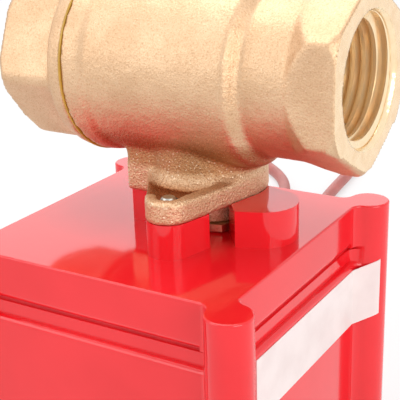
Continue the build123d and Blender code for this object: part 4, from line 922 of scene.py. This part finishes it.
@dataclass
class BrassCastings:
    """The body and the end connector, with edges softened as casting and tumbling leave them."""

    frame: dict
    finishes: Finishes
    voxel: float = 0.36
    edge_passes: int = 4
    hollow_passes: int = 14
    trunk_heights: Span = (56.8, 63.5)
    barrel_low_r: float = 13.5
    machined_r: float = 11.6
    machined_fade: float = 0.6
    machined_softening: float = 0.12
    machined_step: float = 0.3
    bore_from: float = 12.5
    end_reach: float = 0.3
    smooth_end: float = 0.4
    turned_depth: float = 0.12
    turned_facing: float = 0.8
    ripple: float = 0.04
    ripple_size: float = 1.1
    ear: Span = (2.5, -16.84)
    flange_top: float = 56.2
    rim_drop: float = 0.6
    rim_gap: float = 0.2
    rim_fades: Span = (0.8, 0.6)
    squash_from: float = 53.6
    trunk_r: float = 10.0
    block_front: float = -8.2
    block_right: float = -4.0
    pocket_gap: float = 0.5
    pocket_r: float = 2.1
    pocket_flare: float = 0.42
    pocket_edge: float = 0.7
    pocket_depth: float = 1.35
    pocket_rise: float = 0.11
    pocket_rises: Span = (1.0, 6.0)

    def make(self) -> None:
        """Builds both castings."""
        self.casting("valve_body", "cast_body", 1)
        self.casting("end_connector", "cast_end_connector", -1)

    def casting(self, node: str, name: str, side: int) -> None:
        """One casting.

        Args:
            node: the frame's node that it stands for.
            name: the piece's name.
            side: 1 if its port opens to the right, -1 if to the left.
        """
        end_x = port_face(self.frame, node, side)
        obj = carried_copy(self.frame["nodes"][node], name)
        remesh = obj.modifiers.new("even_skin", "REMESH")
        remesh.mode = "VOXEL"
        remesh.voxel_size = self.voxel * MM
        settle(obj)
        mesh = obj.data
        corners = corners_of(mesh)
        off_axis = from_pipe(corners)
        outside = ramp(off_axis - self.machined_r, self.machined_fade, self.machined_softening)
        relax(mesh, self.edge_passes, 0.5 * outside)
        low, high = self.trunk_heights
        inside_trunk = (corners[:, 2] > low) & (corners[:, 2] < high)
        if inside_trunk.any():
            relax(mesh, self.hollow_passes, 0.5 * inside_trunk * (off_axis > self.barrel_low_r))
            self.sink_pocket(mesh)
        self.roughen(mesh, end_x)
        self.face_off(mesh, end_x)
        mesh.shade_smooth()
        for finish in ("cast_brass", "turned_brass", "cut_brass_painted_bright"):
            mesh.materials.append(self.finishes[finish])
        for polygon in mesh.polygons:
            polygon.material_index = self.finish_at(polygon.center / MM, polygon.normal, end_x)
        dress(obj, stands_for=[node])

    def finish_at(self, centre: Vector, normal: Vector, end_x: float) -> int:
        """Which finish a face has: as cast, turned on the end face, or cut in the port, which is painted
        brighter against the bore's shade.

        Args:
            centre: the face's middle, in millimetres.
            normal: its direction.
            end_x: where the machined end face is.

        Returns:
            The place of its material in the casting's list.
        """
        radius = math.hypot(centre.y, centre.z - PIPE_Z)
        if abs(centre.x - end_x) < self.turned_depth and abs(normal.x) > self.turned_facing:
            return 1
        in_port = radius < self.machined_r - self.machined_step and abs(centre.x) > self.bore_from
        return 2 if in_port else 0

    def over_ear(self, corners: np.ndarray) -> tuple[np.ndarray, np.ndarray]:
        """How far each corner is from the front ear's hole, towards the stem and to the left of that."""
        ear = np.array(self.ear)
        inward = -ear / np.hypot(*ear)
        offset = corners[:, :2] - ear
        return offset @ inward, offset @ np.array([-inward[1], inward[0]])

    def pocket_share(self, corners: np.ndarray) -> np.ndarray:
        """How far into the front ear's pocket each corner is, from 0 on its rim to 1 on its floor.

        The trunk and a rim along the ear's front and right bound the pocket; its left side is open.
        """
        along, left = self.over_ear(corners)
        round_end = np.hypot(np.minimum(along, 0.0), left)
        right_edge = self.pocket_r + self.pocket_flare * np.clip(along, 0.0, None) + left
        beside = np.where(left < 0, right_edge, self.pocket_r)
        inside_rim = np.where(along < 0, self.pocket_r - round_end, beside)
        from_trunk = from_stem(corners) - self.trunk_r - self.pocket_gap
        from_block = self.block_front - self.rim_gap - corners[:, 1]
        from_block = np.where(corners[:, 0] < self.block_right, from_block, np.inf)
        nearest = np.minimum(np.minimum(inside_rim, from_trunk), from_block)
        return ramp(nearest, self.pocket_edge) * (corners[:, 1] < 0)

    def sink_pocket(self, mesh: bpy.types.Mesh) -> None:
        """Lowers the flange's rim a little, and sinks the pocket round the front ear's screw hole."""
        corners = corners_of(mesh)
        height = corners[:, 2]
        raised = ramp(height - self.squash_from, self.flange_top - self.squash_from)
        raised = raised * (height < self.flange_top + 0.5)
        off_trunk = ramp(from_stem(corners) - self.trunk_r - self.rim_gap, self.rim_fades[0])
        off_block = ramp(self.block_front - corners[:, 1], self.rim_fades[1])
        by_block = (corners[:, 0] < self.block_right) & (corners[:, 1] < 0)
        beside = off_trunk * np.where(by_block, off_block, 1.0)
        share = self.pocket_share(corners)
        share = share * share * (3 - 2 * share)
        _, left = self.over_ear(corners)
        start, reach = self.pocket_rises
        depth = self.pocket_depth * (1 - self.pocket_rise * np.clip(-start - left, 0.0, reach))
        # The pocket share is kept as an attribute, from which the cast brass paints shade into the pocket.
        shown = mesh.attributes.new(POCKET, "FLOAT", "POINT")
        shown.data.foreach_set("value", (share * raised).astype(np.float32))
        corners[:, 2] = height - raised * (self.rim_drop * beside + depth * share)
        put_corners(mesh, corners)

    def face_off(self, mesh: bpy.types.Mesh, end_x: float) -> None:
        """Makes the port's end face flat, as a lathe leaves it."""
        corners = corners_of(mesh)
        near = np.abs(corners[:, 0] - end_x) < self.end_reach
        corners[near, 0] = end_x
        put_corners(mesh, corners)

    def roughen(self, mesh: bpy.types.Mesh, end_x: float) -> None:
        """Pushes the skin in and out a little, as sand casting does, but for the end face."""
        corners = corners_of(mesh)
        normals = np.empty(3 * len(mesh.vertices))
        mesh.vertices.foreach_get("normal", normals)
        share = ramp(from_pipe(corners) - self.machined_r, self.machined_fade)
        share = share * (np.abs(corners[:, 0] - end_x) > self.smooth_end)
        waves = np.array([noise.noise(Vector(c) / self.ripple_size) for c in corners])
        put_corners(mesh, corners + normals.reshape(-1, 3) * (self.ripple * share * waves)[:, None])


@dataclass
class PortThreads:
    """The pipe threads cut in both ports."""

    frame: dict
    finishes: Finishes
    sizes: dict[str, float] = field(default_factory=lambda: {
        "Turns": 5.6, "Pitch": 1.814, "Root radius": 10.5, "Crest radius": 9.4})
    first_turn_in: float = 0.9

    def make(self) -> None:
        """Cuts both threads."""
        recipe = Recipe("port_thread", self.sizes)
        # The threads take the cut brass, painted brighter against the bore's shade.
        recipe.serve(recipe.thread(400, *recipe.sizes()), self.finishes["cut_brass_painted_bright"])
        for name, node, side in (("port_thread_right", "valve_body", 1),
                                 ("port_thread_left", "end_connector", -1)):
            obj = recipe.grow(name, self.sizes)
            lie_down = Matrix.Rotation(math.radians(-90 * side), 4, "Y")
            end = port_face(self.frame, node, side)
            mouth = Vector((end - side * self.first_turn_in, 0, PIPE_Z)) * MM
            obj.data.transform(Matrix.Translation(mouth) @ lie_down)
            dress(soften(obj, 50))


@dataclass(frozen=True)
class ScrewKind:
    """One kind of screw and where its heads sit."""

    node: str
    head: Span
    shank: Span
    pitch: float
    threaded: float
    seats: tuple[Point, ...]
    head_up: bool = False

    def sizes(self) -> dict[str, float]:
        """The recipe's named sizes."""
        return {
            "Head radius": self.head[0], "Head height": self.head[1], "Shank radius": self.shank[0],
            "Shank length": self.shank[1], "Pitch": self.pitch, "Threaded": self.threaded,
            "Flip": math.pi if self.head_up else 0.0,
        }


@dataclass
class Screws:
    """Every screw of the valve: a domed head with a cross recess, and a threaded shank."""

    finishes: Finishes
    turn_seed: int = 11
    kinds: tuple[ScrewKind, ...] = (
        ScrewKind("cover_screws", (2.5, 2.0), (1.3, 40.0), 0.9, 9.0, (
            (-30.4, -31.84, 2.6), (-30.4, 20.16, 2.6), (21.6, -31.84, 2.6), (21.6, 20.16, 2.6))),
        ScrewKind("plate_screws", (1.9, 1.2), (0.95, 7.6), 0.7, 6.0, (
            (-23.4, -24.84, 23.8), (-23.4, 13.16, 23.8), (14.6, -24.84, 23.8), (14.6, 13.16, 23.8))),
        ScrewKind("board_screws", (1.7, 1.0), (0.78, 3.6), 0.6, 2.4, (
            (-23.2, -24.64, 6.0), (-23.2, 12.96, 6.0), (14.4, -24.64, 6.0), (14.4, 12.96, 6.0)), True),
        ScrewKind("switch_screws", (1.6, 1.0), (0.9, 7.2), 0.5, 3.0, (
            (-3.25, 12.5, 18.0), (3.25, 12.5, 18.0), (-12.5, -3.25, 18.0), (-12.5, 3.25, 18.0))),
        ScrewKind("motor_screws", (1.5, 0.8), (0.8, 1.7), 0.4, 1.6, (
            (12.229, -15.496, 24.6), (2.833, -18.916, 24.6)), True),
        ScrewKind("flange_screws", (3.1, 2.2), (1.95, 12.0), 0.8, 6.0, (
            (2.5, -16.84, 43.4), (-2.0, 13.45, 43.4))),
    )

    def make(self) -> None:
        """Builds every kind from one recipe."""
        recipe = self.recipe()
        for kind in self.kinds:
            obj = recipe.grow(kind.node + "_made", kind.sizes(), kind.seats)
            dress(soften(obj, 40), stands_for=[kind.node])

    def recipe(self) -> Recipe:
        """The tree: one screw with its seat at the origin and its shank up, copied to every seat."""
        recipe = Recipe("cross_screw", self.kinds[0].sizes())
        wide, tall, core, length, pitch, threaded, flip = recipe.sizes()
        head = recipe.turned([
            (0.0, tall * -1.0), (wide * 0.6, tall * -1.0), (wide * 0.86, tall * -0.86),
            (wide * 0.97, tall * -0.6), (wide, tall * -0.4), (wide, 0.0), (0.0, 0.0)])
        arm = wide * 1.15
        slit = wide * 0.24
        cross = ((arm, slit), (slit, arm))
        recess = [recipe.moved(recipe.block(x, y, tall), tall * -0.95) for x, y in cross]
        head = recipe.node("GeometryNodeMeshBoolean", {"operation": "DIFFERENCE", "solver": "EXACT"},
                           {"Mesh 1": head, "Mesh 2": recess})
        shank = recipe.turned([
            (0.0, tall * -0.1), (core * 0.86, tall * -0.1), (core * 0.86, length - core * 0.5),
            (core * 0.5, length - 0.02), (0.0, length - 0.02)], 24)
        ridge = recipe.thread(200, threaded / pitch - 0.6, pitch, core * 0.84, core)
        ridge = recipe.moved(ridge, length - threaded)
        screw = recipe.node("GeometryNodeJoinGeometry", sockets={"Geometry": [head, shank, ridge]})
        turn = recipe.node("FunctionNodeRandomValue", {"data_type": "FLOAT"},
                           {2: 0.0, 3: TURN, 8: self.turn_seed}, out=1)
        copies = recipe.copied(screw, recipe.together(flip, 0.0, turn))
        recipe.serve(copies, self.finishes["screw_steel"])
        return recipe


@dataclass
class BootRibs:
    """The bending ribs round the cable's rubber boot."""

    finishes: Finishes
    axis: Span = (-13.0, 10.0)
    ribs: tuple[Span, ...] = ((22.2, 3.3), (23.5, 3.06), (24.8, 2.82), (26.1, 2.58))
    section: float = 0.34

    def make(self) -> None:
        """Puts one rib at each place along the boot."""
        recipe = Recipe("boot_rib", {"Section": self.section, "Reach": 1.0})
        sheet, along, across = recipe.sheet(along=48, across=10)
        section, reach = recipe.sizes()
        from_axis = reach + section * recipe.maths("COSINE", across * TURN)
        ring = recipe.wound(sheet, from_axis, along * TURN, section * recipe.maths("SINE", across * TURN))
        ring = recipe.node("GeometryNodeTransform", sockets={
            "Geometry": ring, "Rotation": (math.radians(90), 0.0, 0.0)})
        recipe.serve(recipe.copied(ring), self.finishes["grommet_rubber"])
        for number, (y, radius) in enumerate(self.ribs):
            place = (self.axis[0], y, self.axis[1])
            obj = recipe.grow(f"boot_rib_{number + 1}", {"Section": self.section, "Reach": radius}, [place])
            dress(soften(obj, 60))


@dataclass
class CarriedPieces:
    """The frame's own shapes, joined up, smoothed and given their finishes."""

    frame: dict
    finishes: Finishes
    own_finish: dict[str, str] = field(default_factory=lambda: {
        "red_plastic": "gloss_red", "packing_nut": "sandy_brass"})
    left_out: tuple[str, ...] = (
        "valve_body", "end_connector", "cable", "cover_screws", "plate_screws", "board_screws",
        "switch_screws", "motor_screws", "flange_screws",
    )

    def make(self) -> None:
        """Dresses every node that no other class stands for."""
        slots = {part["node"]: part["material_slot"] for part in self.frame["record"]["subparts"]}
        riders = self.frame["record"]["behaviour"]["bodies"]
        bodies = {node: Body(body) for body, nodes in riders.items() for node in nodes}
        for node, source in self.frame["nodes"].items():
            if node in self.left_out:
                continue
            slot = slots[node]
            finish = self.own_finish.get(node) or self.own_finish.get(slot, slot)
            obj = soften(carried_copy(source, node + "_smooth"))
            dress(obj, self.finishes[finish], bodies[node], stands_for=[node])


@dataclass
class Cable:
    """The cable, loose on the floor behind the valve."""

    finishes: Finishes
    diameter: float = 3.6
    route: tuple[Point, ...] = (
        (-13.0, 27.06, 10.0), (-13.0, 37.0, 10.0), (-14.6, 56.0, 4.4),
        (-18.6, 73.0, 1.9), (-25.4, 94.0, 1.9), (-32.6, 116.0, 1.9),
        (-36.2, 138.0, 1.9), (-38.4, 160.0, 1.9), (-45.5, 179.0, 1.9),
        (-61.0, 187.0, 1.9), (-76.5, 180.0, 1.9), (-80.0, 164.5, 1.9),
        (-69.0, 152.5, 1.9), (-55.0, 140.5, 1.9), (-46.6, 124.5, 1.9),
        (-44.0, 104.0, 1.9), (-40.0, 84.0, 1.9), (-39.0, 66.0, 1.9),
    )
    length: float = 312.0
    smooth_steps: int = 12

    def make(self) -> None:
        """Lays the cable."""
        curve = bpy.data.curves.new("free_cable", "CURVE")
        curve.dimensions = "3D"
        curve.bevel_depth = self.diameter / 2 * MM
        curve.bevel_resolution = 6
        curve.resolution_u = self.smooth_steps
        curve.use_fill_caps = True
        spline = curve.splines.new("NURBS")
        spline.points.add(len(self.route) - 1)
        for point, (x, y, z) in zip(spline.points, self.route):
            point.co = (x * MM, y * MM, z * MM, 1.0)
        spline.order_u = 3
        spline.use_endpoint_u = True
        obj = put_in_scene("free_cable", curve)
        dress(obj, self.finishes["cable_jacket"], stands_for=["cable"])


def main() -> None:
    """Builds the whole scene around the frame."""
    logging.basicConfig(level=logging.INFO, format="%(message)s")
    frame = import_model()
    PhotographView().make()
    Studio().make()
    finishes = Finishes()
    BrassCastings(frame, finishes).make()
    PortThreads(frame, finishes).make()
    Screws(finishes).make()
    BootRibs(finishes).make()
    CarriedPieces(frame, finishes).make()
    Cable(finishes).make()


if __name__ == "__main__":
    main()
